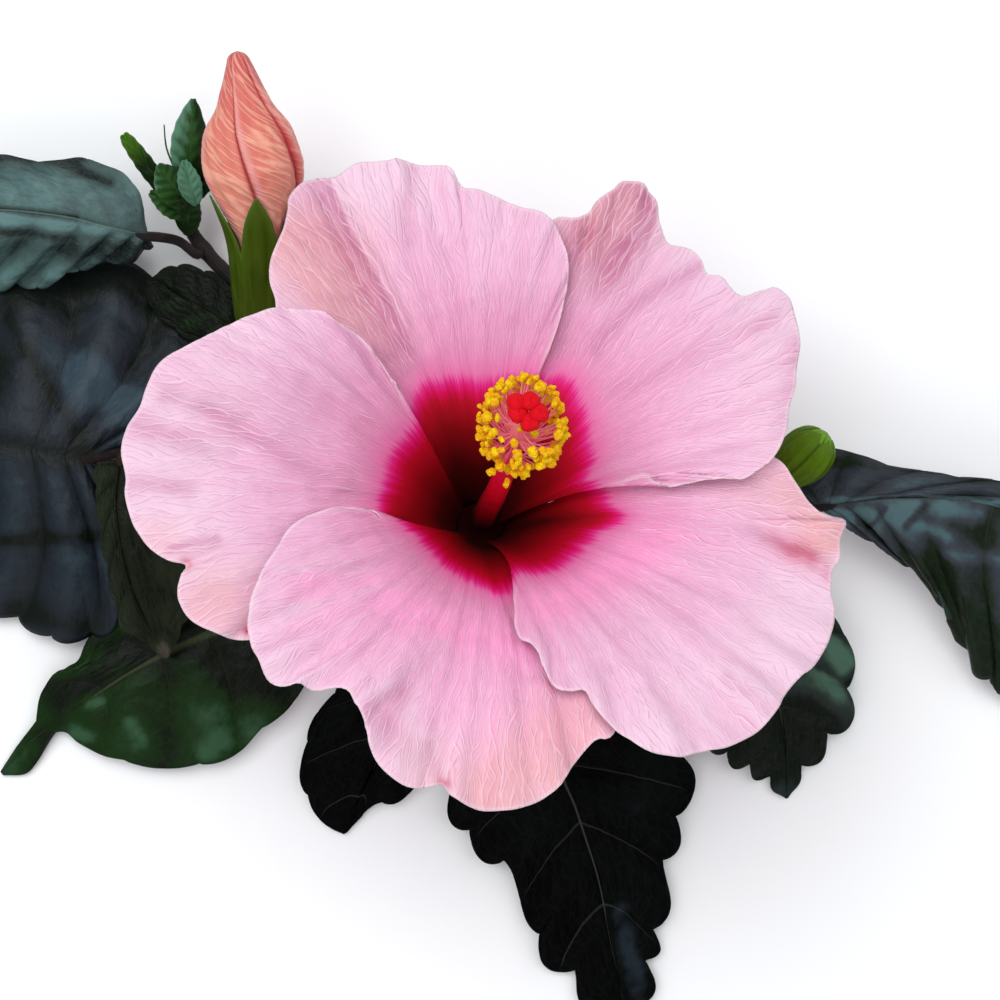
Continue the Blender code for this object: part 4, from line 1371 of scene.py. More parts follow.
    def relief(
        self, angle: Array, radius: Array, where: Array, rim: Array, flush: Array
    ) -> Array:
        """How far the petal stands off its rule's surface at each point.

        Args:
            angle: The points' angles.
            radius: Their distances from the bloom's axis.
            where: The same as places in the plane across the axis.
            rim: Their distances from the margin.
            flush: Their painted shade, and painted light below zero; the petal is more crumpled where the shade lies.

        Returns:
            Millimetres along the surface's normal.
        """
        seed = int(self.claw)
        free = smooth_step(radius, 14, 34)
        loose = smooth_step(radius, 22, 38)
        drift = 0.8 * patches(angle * 5, radius / 18, seed)
        pleats = 0.26 * np.sin(38 * angle + drift) + 0.07 * np.sin(91 * angle + 2 * drift)
        turn = rise(self.COLUMNS).T
        waves = np.sin(TURN * (turn * 11 + 0.7 * patches(turn * 7, 0, seed + 1)))
        small = np.sin(TURN * (turn * 31 + 0.9 * patches(turn * 19, 0, seed + 2)))
        frill = smooth_step(-rim, -16, 0) * 0.7 * waves + smooth_step(-rim, -6, 0) * 0.25 * small
        x, y = where[..., 0], where[..., 1]
        small_share = self.crumple * (0.35 + 0.3 * np.clip(flush, 0, 1))
        crumples = self.crumple * patches(x / 7, y / 7, seed + 3) + small_share * patches(x / 2.4, y / 2.4, seed + 4)
        crepe = 0.05 * patches(angle * 70, radius / 1.6, seed + 5)
        folds = sum((fold.rooted(where) for fold in self.folds), np.zeros_like(radius))
        margin = frill - 0.4 * np.exp(-rim / 1.6)
        return free * (pleats + crumples + crepe) + loose * margin + folds


@dataclass
class Stamens:
    """The column that stands in the trumpet, with its threads and anthers, and the stigma's pads.

    Attributes:
        path: The column's points, in the bloom's frame.
        radii: Its radius at its foot and its top.
        skirt: How much wider its foot is, where it meets the petals' claws.
        anthers: How many anthers crowd round its top.
        ring: The nearest and farthest that they stand from the column.
        levels: The lowest and highest of them.
        pads: Each stigma pad's place across and along, round the column's top.
        extras: The places of the anthers inside the ring and under it.
    """

    path: tuple[Place, ...] = ((0.0, 0.0, 0.3), (0.2, 0.6, 30.0), (0.0, 3.4, 60.0))
    radii: tuple[float, float] = (2.4, 1.3)
    skirt: float = 3.2
    anthers: int = 128
    ring: tuple[float, float] = (4.9, 7.9)
    levels: tuple[float, float] = (51.0, 61.5)
    pads: tuple[Place, ...] = (
        (-1.7, 4.7, 65.2), (0.6, 4.8, 65.6), (-1.5, 2.9, 64.6), (2.1, 2.8, 65.2), (0.5, 1.4, 64.4),
    )
    extras: tuple[Place, ...] = (
        (-0.4, 1.4, 61.0), (-1.6, -0.9, 60.0), (1.9, 0.6, 60.5), (3.2, -2.6, 59.0),
        (-2.0, -5.8, 52.0), (-4.6, -3.9, 52.5), (0.9, -4.4, 52.0),
    )

    MIDDLE = (0.5, 3.3)
    TALLER = 1.12
    SEED = 7

    def column(self) -> Surface:
        """The column: a tube with five low ridges that wind up it.

        Returns:
            The tube in the sprig's frame.
        """
        sides = 40
        path = smooth_path(self.path, 120)
        share, turn = rise(len(path)), whole_turn(sides)
        radius = self.radii[0] + (self.radii[1] - self.radii[0]) * share
        radius = radius + self.skirt * np.exp(-60 * share / 1.6)
        ridges = 1 + 0.07 * np.cos(5 * turn + 5 * share) + 0.03 * patches(share * 40, 3 * np.cos(turn), 3)
        return tube(COROLLA.to_world(path), radius * ridges, sides, rise=share)

    def thread(self, foot: Array, end: Array) -> Surface:
        """A thread that leaves the column outwards and then bends up to its anther.

        Args:
            foot: Where it starts.
            end: Where its anther is.

        Returns:
            The thread.
        """
        bend = foot + (end - foot) * np.array([0.7, 0.7, 0.15])
        path = arc(foot, bend, end, rise(8))
        return tube(COROLLA.to_world(path), np.full(len(path), 0.15), 6, rise=1.0)

    def grain(self, place: Array, size: float, rng: np.random.Generator) -> Surface:
        """An anther: a ball drawn into two lobes by 1 + 0.3 cos 2a, with lumps.

        Args:
            place: Its middle.
            size: Its mean radius.
            rng: The random numbers for its lumps and turn.

        Returns:
            The anther.
        """
        fall = np.linspace(0.12, math.pi - 0.12, 10)[:, None]
        turn = whole_turn(14)
        phase = rng.uniform(0, 6.28, 4)
        radius = size * (1 + 0.3 * np.cos(2 * turn + phase[0]) * np.sin(fall))
        radius = radius * (1 + 0.2 * np.sin(3 * turn + phase[1]) * np.sin(3 * fall + phase[2]))
        axes = np.linalg.qr(rng.normal(size=(3, 3)))[0]
        axes[2] *= np.linalg.det(axes)
        ball = about_axis(radius * np.sin(fall), turn, -radius * np.cos(fall))
        return ringed(COROLLA.to_world(place + ball @ axes), {"pollen": 1.0, "rise": 1.0})

    def build(self) -> None:
        """Makes the column with its anthers, and the stigma."""
        rng = np.random.default_rng(self.SEED)
        centre = smooth_path(self.path, 120)
        parts = [self.column()]
        for number in range(self.anthers):
            turn = number * GOLDEN_ANGLE + rng.uniform(-0.2, 0.2)
            share = (number + 0.5) / self.anthers
            level = self.levels[0] + (self.levels[1] - self.levels[0]) * share + rng.uniform(-1, 1)
            middle = (1 - abs(2 * share - 1)) ** 0.5
            reach = self.ring[0] + (self.ring[1] - self.ring[0]) * middle * rng.uniform(0.75, 1.0)
            foot = along_path(centre, centre[:, 2], np.array([level - 5 - 4 * rng.random()]))[0]
            x, y = self.MIDDLE
            place = np.array([x + math.cos(turn) * reach, y + math.sin(turn) * reach * self.TALLER, level])
            parts.append(self.thread(foot, place))
            parts.append(self.grain(place, rng.uniform(0.5, 0.92), rng))
            if number % 3 == 0:
                parts.append(self.grain(place + rng.uniform(-0.9, 0.9, 3), rng.uniform(0.4, 0.6), rng))
        parts += [self.grain(np.array(place), 0.7, rng) for place in self.extras]
        Surface.joined(parts).piece("fine_column", "stamen_column", Finish.ANTHER, "anther")
        self.stigma(rng).piece("velvet_stigma", "stigma_head", Finish.STIGMA, "stigma")

    def stigma(self, rng: np.random.Generator) -> Surface:
        """Five flattened velvet pads, each on a short curved style.

        Args:
            rng: The random numbers for the hairs.

        Returns:
            The pads and styles.
        """
        top = np.array(self.path[-1]) + (0, 0, 0.3)
        fall = np.linspace(0.06, math.pi - 0.06, 26)[:, None]
        turn = whole_turn(36)
        parts = []
        for place in np.array(self.pads):
            hairs = 1 + 0.07 * patches(fall * 9, 8 + 6 * np.cos(turn), rng.integers(99))
            radius = 1.66 * hairs * (1 + 0.06 * np.cos(3 * turn + place[0]))
            pad = place + about_axis(radius * np.sin(fall), turn, -0.72 * radius * np.cos(fall))
            parts.append(ringed(COROLLA.to_world(pad), {}))
            bend = (top * (0.6, 0.6, 0) + place * (0.4, 0.4, 0)) + (0, 0, (top[2] + place[2]) / 2)
            path = arc(top, bend, place, rise(10))
            parts.append(tube(COROLLA.to_world(path), np.linspace(0.55, 0.35, len(path)), 10))
        return Surface.joined(parts)


def cup(
    radius: Rule,
    rim: Rule,
    floors: tuple[float, float],
    sides: int,
    seam: Rule,
) -> Surface:
    """A toothed cup: its outer wall up to the rim, and its inner wall back down.

    Args:
        radius: The radius of the wall's middle at a height.
        rim: The height of the rim at a turn.
        floors: The height of its floor inside and outside.
        sides: How many points a ring has.
        seam: How deep a seam runs down the wall at a turn.

    Returns:
        The cup in its own frame, upright. Its value "rim" is 1 at the rim, and "crease", which paints shade, in a seam.
    """
    rows, wall, thinning, ribs = 44, 0.7, 0.6, 15
    turn = whole_turn(sides)
    rings, rims = [], []
    for side, floor in ((1, floors[1]), (-1, floors[0])):
        level = rise(rows)[::side]
        height = floor + (rim(turn) - floor) * level
        rib = 0.18 * np.cos(ribs * turn) * smooth_step(level, 0.05, 0.4) * (1 - smooth_step(level, 0.8, 1.0))
        out = radius(height) + side * wall * (1 - thinning * level) / 2 + rib - seam(turn)
        rings.append(about_axis(out, turn, height))
        rims.append(level**14 * 0.6)
    # The seams are also painted in shade.
    return ringed(np.concatenate(rings), {"rim": np.concatenate(rims), "crease": np.clip(seam(turn) * 2, 0, 1)})


def tooth_wave(turns: Array, blunt: float = 0.8) -> Array:
    """1 at the tip of each of five teeth and 0 between them."""
    return (1 - np.abs((turns * 5 / TURN) % 1 - 0.5) * 2) ** blunt


@dataclass
class BloomCalyx:
    """The calyx cup under the petals and the ring of narrow bracts under it."""

    floor: float = -3.3
    rim: float = 8.5
    tooth: float = 12.0
    clearance: float = 1.9
    bracts: int = 7
    bract_length: float = 8.5

    def wall(self, height: Array) -> Array:
        """The cup's radius at a height: the trumpet's with the clearance, and less under its base.

        Args:
            height: The heights.

        Returns:
            One radius for each.
        """
        inside = np.clip(height, 0, None)
        reach = -COROLLA.flare * np.log(1 - np.minimum(inside / COROLLA.depth, 0.6))
        slope = COROLLA.slope(COROLLA.throat + reach)
        return COROLLA.throat + reach + self.clearance * np.hypot(slope, 1) / slope + 0.35 * np.minimum(height, 0)

    def edge(self, turn: Array) -> Array:
        """The height of its rim at a turn."""
        return self.rim + self.tooth * tooth_wave(turn)

    def bract(self, number: int, low: float) -> Surface:
        """A bract that leaves the ring outwards, curves up and narrows to its end.

        Args:
            number: Which one it is.
            low: The height of the ring's lower side.

        Returns:
            The bract.
        """
        turn = TURN * (number + 0.3) / self.bracts
        out = np.array([math.cos(turn), math.sin(turn), 0.0])
        aside = np.array([-math.sin(turn), math.cos(turn), 0.0])
        along = rise(24)
        s = np.linspace(-1, 1, 9)[None]
        height = low + 0.5 + 2.2 * (1.4 * along**2 - 0.4 * along) + 0.25 * s**2
        half = 0.9 * (1 - 0.8 * along**2) * s
        grid = (2.0 + self.bract_length * along)[..., None] * out + half[..., None] * aside + height[..., None] * UP
        flow = np.stack(np.broadcast_arrays(s / 8 + 0.5, along), axis=-1)
        return sheet(COROLLA.to_world(grid), 0.4, flow, {})

    def build(self) -> None:
        """Makes both."""
        calyx = cup(self.wall, self.edge, (0.0, self.floor), 160, np.zeros_like)
        calyx.points = COROLLA.to_world(calyx.points)
        calyx.piece("fine_calyx", "bloom_calyx", Finish.CALYX, "calyx")
        low = self.floor - 1.3
        ring = tube(COROLLA.to_world([(0, 0, low), (0, 0, low + 0.5), (0, 0, low + 1.0)]), (3.2, 3.4, 3.3), 40)
        bracts = Surface.joined([ring] + [self.bract(number, low) for number in range(self.bracts)])
        bracts.piece("fine_epicalyx", "bloom_epicalyx", Finish.CALYX, "calyx")


# ---- Buds and the growing tip


@dataclass
class Bud:
    """A furled bud and the calyx that wraps its lower part.

    Attributes:
        prefix: What its CAD nodes' names start with.
        base: Its base.
        tip: Its tip.
        radius: Its greatest radius.
        bow: How far it bows aside.
        wrap: How much of its length the calyx wraps.
        first_fold: The turn of its first petal's edge at the tip, in degrees.
        twist: How far the folds wind from tip to base, in degrees.
        clearance: How far the calyx's wall stands off the petals.
        finish: The petals' finish.
        slot: The petals' material slot.
        skin: The calyx's finish.
        turned: How far round the calyx's teeth stand, in degrees.
        cleft: How deep the calyx is cut between its teeth, as a share of its height.
        seam: How deep a seam runs down from each cut.
        blunt: How blunt the calyx's teeth are: 1 for straight sides, and less for round ones.
        profile: Its (share of its length, share of its greatest radius) pairs.
    """

    prefix: str
    base: Place
    tip: Place
    radius: float
    bow: float
    wrap: float
    first_fold: float
    twist: float
    clearance: float
    finish: Finish
    slot: str
    skin: Finish = Finish.CALYX
    turned: float = -15.0
    cleft: float = 0.47
    seam: float = 0.0
    blunt: float = 0.7
    profile: tuple[Point, ...] = (
        (0, 0.30), (0.25, 0.44), (0.42, 0.76), (0.56, 1), (0.68, 0.91), (0.80, 0.57), (0.90, 0.35),
        (0.96, 0.24), (1, 0.19),
    )

    FLOOR = 2.2
    FURL = 0.03

    def axes(self) -> Array:
        """Its own axes as rows: two across it and one along it."""
        return axes_along(unit(np.subtract(self.tip, self.base)), UP)

    def seat(self) -> tuple[Array, Array]:
        """The point under its calyx that its stalk reaches, and the way it points there."""
        return np.array(self.base) - self.axes()[2] * 0.3, self.axes()[2]

    def length(self) -> float:
        """Its length from base to tip."""
        return float(np.linalg.norm(np.subtract(self.tip, self.base)))

    def placed(self, local: Array) -> Array:
        """Points in its own frame, bowed aside and put in the sprig's."""
        aside = -self.bow * np.sin(math.pi * np.clip(local[..., 2] / self.length(), 0, 1))
        return np.array(self.base) + (local + aside[..., None] * np.array([1.0, 0.0, 0.0])) @ self.axes()

    def thickness(self, along: Array) -> Array:
        """Its radius at a share of its length: narrow foot, widest past its middle, drawn to a point."""
        profile = smooth_path(self.profile, 60)
        return self.radius * np.interp(along, profile[:, 0], profile[:, 1])

    def wall(self, height: Array) -> Array:
        """The calyx's radius at a height: the bud's with the clearance, and less under its floor.

        Args:
            height: The heights.

        Returns:
            One radius for each.
        """
        above = height - self.FLOOR
        share = np.clip(above / (self.length() - self.FLOOR), 0, 1)
        clear = self.clearance * (1 - 0.65 * smooth_step(share, 0.15, 0.5))
        return self.thickness(share) * (1.02 + self.FURL) + clear + 0.4 * np.minimum(above, 0)

    def teeth(self, turn: Array, blunt: float = 0.8) -> Array:
        """The calyx's teeth at a turn: 1 at their tips and 0 between them."""
        return tooth_wave(turn - math.radians(self.turned), blunt)

    def edge(self, turn: Array) -> Array:
        """The height of the calyx's rim at a turn."""
        return self.wrap * self.length() * (1 - self.cleft * (1 - self.teeth(turn, self.blunt)))

    def seams(self, turn: Array) -> Array:
        """How deep the calyx's wall is cut at a turn."""
        return self.seam * (1 - self.teeth(turn)) ** 8

    def furled(self) -> Surface:
        """The petals, in five overlapping folds.

        Round the bud the radius steps up at each petal's edge and then falls slowly, and the
        edges wind round it.

        Returns:
            The petals, with the painted shadow along each petal's edge and a lighter band beside it as values.
        """
        along, turn = rise(150), whole_turn(200)
        edge = math.radians(self.first_fold) + math.radians(self.twist) * (1 - along)
        order = ((turn - edge) * 5 / TURN) % 1
        step = smooth_step(order, 0.0, 0.06) - order - 0.5
        body = smooth_step(along, 0.1, 0.4) * (1 - smooth_step(along, 0.93, 1.0))
        veins = np.sin(TURN * (order * 4 + along * 3))
        rough = patches(along * 26, 10 + 7 * np.cos(turn) + 4 * np.sin(turn), 21)
        shape = 1 + body * (0.15 * step + 0.012 * veins + 0.02 * rough)
        end = np.sqrt(np.clip(1 - ((along - 0.97) / 0.0301).clip(0) ** 2, 0.02, 1))
        radius = self.thickness(along) * shape * (1 + self.FURL * np.cos(3 * turn)) * end
        grid = about_axis(radius, turn, self.FLOOR + along * (self.length() - self.FLOOR))
        shown = smooth_step(along, 0.1, 0.3)
        # Painted shadow along each petal's overlapping edge.
        crease = np.exp(-((np.minimum(order, 1 - order) / (0.025 + 0.04 * (1 - along))) ** 2)) * shown
        rim = 0.7 * np.exp(-(((order - 0.11) / 0.06) ** 2)) * shown
        return ringed(self.placed(grid), {"crease": crease, "rim": rim})

    def build(self) -> None:
        """Makes the furled petals and the calyx."""
        petals, calyx = self.prefix + "_petals", self.prefix + "_calyx"
        self.furled().piece("fine_" + petals, petals, self.finish, self.slot)
        made = cup(self.wall, self.edge, (self.FLOOR - 0.3, 0.0), 150, self.seams)
        made.points = self.placed(made.points)
        made.piece("fine_" + calyx, calyx, self.skin, "calyx")


@dataclass
class YoungLeaf:
    """A young leaf at the growing tip.

    Attributes:
        base: Its base.
        tip: Its tip.
        half: Half its width.
        tone: How light it is painted: towards the painted sheen above zero and the painted shade below.
        fresh: How far it is fresh green.
        blunt: How soon it widens and how late it narrows.
        lean: How much lighter one half is painted than the other: painted light on one half and painted shade on the
            other.
    """

    base: Place
    tip: Place
    half: float
    tone: float = 0.0
    fresh: float = 0.0
    blunt: float = 0.8
    lean: float = 0.3

    ROWS = 70
    COLUMNS = 29
    VEINS = 6

    def blade(self, seed: int) -> Surface:
        """The leaf as a sheet.

        Its midrib arches by sin pi t, its half-width is a power of sin of pi t to the power 0.8,
        both halves fold up from the midrib and its margin is finely toothed.

        Args:
            seed: The number that its bumps start from.

        Returns:
            The sheet.
        """
        base, tip = np.array(self.base, float), np.array(self.tip, float)
        t, s = rise(self.ROWS), np.linspace(-1, 1, self.COLUMNS)[None]
        middle = base + t * (tip - base) + 1.5 * np.sin(math.pi * t) * UP
        aside = unit(np.cross(UP, tip - base))
        width = 0.3 + self.half * np.sin(math.pi * t**0.8) ** self.blunt
        width = width * (1 + 0.02 * np.sin(TURN * self.VEINS * t) * np.sin(math.pi * t))
        order = self.VEINS * t - 0.9 * np.abs(s)
        lift = np.abs(s) * width * 0.45 + 0.18 * np.cos(TURN * order) * np.sin(math.pi * np.abs(s))
        lift = lift + 0.2 * patches(t * 5, s * 3, seed)
        grid = middle[:, None] + (width * s)[..., None] * aside + lift[..., None] * UP
        flow = np.stack(np.broadcast_arrays((order + 2) / VEIN_SCALE, 0.5 + 0.5 * s), axis=-1)
        # Painted light on the domes between the veins, and painted light and shade by leaf, by half and towards the
        # tip.
        dome = 0.5 + 0.5 * np.cos(TURN * order)
        tone = self.tone + self.lean * s + 0.5 * (t - 0.5)
        return sheet(grid, 0.4, flow, {"dome": dome, "tone": tone, "stalk": self.fresh * smooth_step(t, 0.45, 0.95)})


@dataclass
class ShootTip:
    """The growing tip: a short stalk with young leaves folded round it, and a stipule.

    Attributes:
        path: The stalk's points.
        leaves: The young leaves.
        stipule: The stipule's points.
    """

    path: tuple[Place, ...] = ((-64.0, 57.5, 8.4), (-64.5, 60.5, 11.0), (-64.0, 64.0, 13.5))
    leaves: tuple[YoungLeaf, ...] = (
        YoungLeaf((-66, 60.5, 10.8), (-74.8, 72.6, 16.5), 1.45, -0.6, 0.8, 0.3, 0.0),
        YoungLeaf((-62.2, 62, 12), (-60.4, 79.0, 20.5), 3.4, 0.1, 0.0, 0.8, 0.8),
        YoungLeaf((-63, 60, 11), (-57.5, 69, 14), 3.2, -1.0),
        YoungLeaf((-62, 58.5, 12), (-67.8, 66.5, 17), 3.4, -0.05),
        YoungLeaf((-61, 57.5, 10), (-70.0, 61.4, 13.5), 2.8, -0.05, 0.1),
        YoungLeaf((-63.2, 53.5, 8.6), (-61.4, 61.5, 14), 2.4, -1.0),
        YoungLeaf((-60.6, 58.8, 14), (-62.4, 67.2, 18.5), 2.0, 1.2),
    )
    stipule: tuple[Place, ...] = ((-63.5, 62, 13), (-64.8, 66, 15.5), (-66.2, 70, 17), (-66.6, 74.4, 17.5))

    def build(self) -> None:
        """Makes the stalk, its leaves and the stipule."""
        stalk = tube(smooth_path(self.path, 30), np.linspace(1.2, 0.9, 30), 20, stalk=0.35)
        stipule = tube(smooth_path(self.stipule, 24), np.linspace(0.3, 0.12, 24), 8, stalk=0.35)
        parts = [stalk, stipule] + [leaf.blade(seed) for seed, leaf in enumerate(self.leaves)]
        Surface.joined(parts).piece("fine_shoot_tip", "shoot_tip", Finish.YOUNG_LEAF, "young_leaf")


# ---- The studio


@dataclass
class Softbox:
    """A square area light that points at the sprig.

    Attributes:
        azimuth: The way that it stands in, in degrees from +X.
        elevation: How high it stands, in degrees.
        power: Its power in watts.
        size: Its side in metres.
        colour: Its colour.
    """

    azimuth: float
    elevation: float
    power: float
    size: float
    colour: Colour = (1.0, 1.0, 1.0)

    DISTANCE = 1.1

    def build(self, target: Array) -> None:
        """Hangs the light.

        Args:
            target: Where it points.
        """
        turn, lean = math.radians(self.azimuth), math.radians(self.elevation)
        way = np.array([math.cos(lean) * math.cos(turn), math.cos(lean) * math.sin(turn), math.sin(lean)])
        lamp = bpy.data.lights.new("softbox", "AREA")
        lamp.energy = self.power
        lamp.size = self.size
        lamp.color = self.colour
        made = put("softbox", lamp)
        made.location = target + way * self.DISTANCE
        made.rotation_euler = mathutils.Vector(way).to_track_quat("Z", "Y").to_euler()
        made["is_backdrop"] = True


@dataclass
class Studio:
    """A pale floor under soft light, and the camera above it."""

    camera_height: float = 480.0
    lens: float = 84.0
    floor_half: float = 3.0
    floor_colour: Colour = (0.92, 0.92, 0.92)
    sky: Colour = (0.90, 0.94, 1.0)
    sky_strength: float = 0.44
    lights: tuple[Softbox, ...] = (
        Softbox(125, 64, 8.0, 0.8, (0.97, 0.99, 1.0)),
        Softbox(20, 60, 3.0, 0.9),
        Softbox(250, 45, 2.6, 0.9, (1.0, 0.98, 0.96)),
    )

    def build(self) -> None:
        """Lays the floor and hangs the lights and the camera."""
        middle = SHIFT * MM * np.array([1.0, 1.0, 0.0])
        half = self.floor_half
        mesh = bpy.data.meshes.new("floor")
        mesh.from_pydata([(-half, -half, 0), (half, -half, 0), (half, half, 0), (-half, half, 0)], [], [(0, 1, 2, 3)])
        mesh.materials.append(ShaderTree("floor").finish((*self.floor_colour, 1.0), 0.9, specular=0.5))
        put("floor", mesh)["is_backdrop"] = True
        for light in self.lights:
            light.build(middle)
        world = bpy.data.worlds.new("sky")
        world.use_nodes = True
        backdrop = world.node_tree.nodes["Background"]
        backdrop.inputs["Color"].default_value = (*self.sky, 1.0)
        backdrop.inputs["Strength"].default_value = self.sky_strength
        bpy.context.scene.world = world
        bpy.context.scene.view_settings.view_transform = "Standard"
        view = bpy.data.cameras.new("camera")
        view.lens = self.lens
        view.sensor_width = 36.0
        view.clip_start = 0.01
        camera = put("camera", view)
        camera.location = SHIFT * MM + np.array([0.0, 0.0, self.camera_height * MM])
        bpy.context.scene.camera = camera


# ---- The sprig

CORAL_BUD = Bud(
    "bud", (-47.0, 34.4, 22.0), (-49.8, 85.0, 38.0), 9.4, 1.6, 0.505, 52.0, 75.0, 1.9, Finish.CORAL, "coral",
)
GREEN_BUD = Bud(
    "green_bud", (53.8, 2.2, 15.8), (64.2, 12.9, 22.5), 4.7, 0.0, 0.98, 20.0, 90.0, 0.4,
    Finish.FRESH_CALYX, "calyx", Finish.FRESH_CALYX, turned=20.0, cleft=0.09, seam=0.5, blunt=0.55,
    profile=((0, 0.45), (0.2, 0.66), (0.42, 0.94), (0.58, 1), (0.74, 0.93), (0.86, 0.76), (0.95, 0.45), (1, 0.12)),
)
BLOOM_SEAT = COROLLA.to_world((0, 0, BloomCalyx.floor - 1.6)), COROLLA.axes()[2]
STEMS = (
    Stem(
        "main_stem", None,
        (
            (22.4, -28.6, 2.6), (2, -19.5, 4.2), (-18, 1.5, 5), (-40.8, 26.5, 5), (-52.5, 42.5, 5), (-61, 52, 5.6),
            (-63.8, 57, 7.8),
        ),
        (2.6, 1.3), Finish.BARK, "bark", (0.11, 0.19, 0.27, 0.47, 0.52, 0.58, 0.68, 0.89),
    ),
    Stem(
        "side_twig", ("main_stem", 0.19), ((7, -12, 5), (20, -8, 4.6), (45, 1.5, 5.2), (57.5, 2.6, 7.4)),
        (1.8, 1.2), Finish.BARK, "bark", (0.42, 0.72),
    ),
    Stem(
        "left_twig", ("main_stem", 0.52), ((-39, 15, 5.6), (-51, 14.8, 6.6), (-64, 12.5, 9.6), (-75.2, 9.8, 12)),
        (1.6, 1.1), Finish.GREEN_STEM, "green_stem", (0.5, 0.93),
    ),
    Stem(
        "bud_stalk", ("main_stem", 0.58), ((-39, 23.5, 12.5),),
        (1.5, 1.6), Finish.GREEN_STEM, "green_stem", (), CORAL_BUD.seat(),
    ),
    Stem(
        "green_bud_stalk", ("side_twig", 0.72), ((47, 1, 11),),
        (1.1, 1.2), Finish.GREEN_STEM, "green_stem", (), GREEN_BUD.seat(),
    ),
    Stem(
        "bloom_stalk", ("main_stem", 0.47), ((-23.5, 7.5, 11.5), (-14, -4, 13.8)),
        (1.5, 2.1), Finish.GREEN_STEM, "green_stem", (), BLOOM_SEAT,
    ),
)
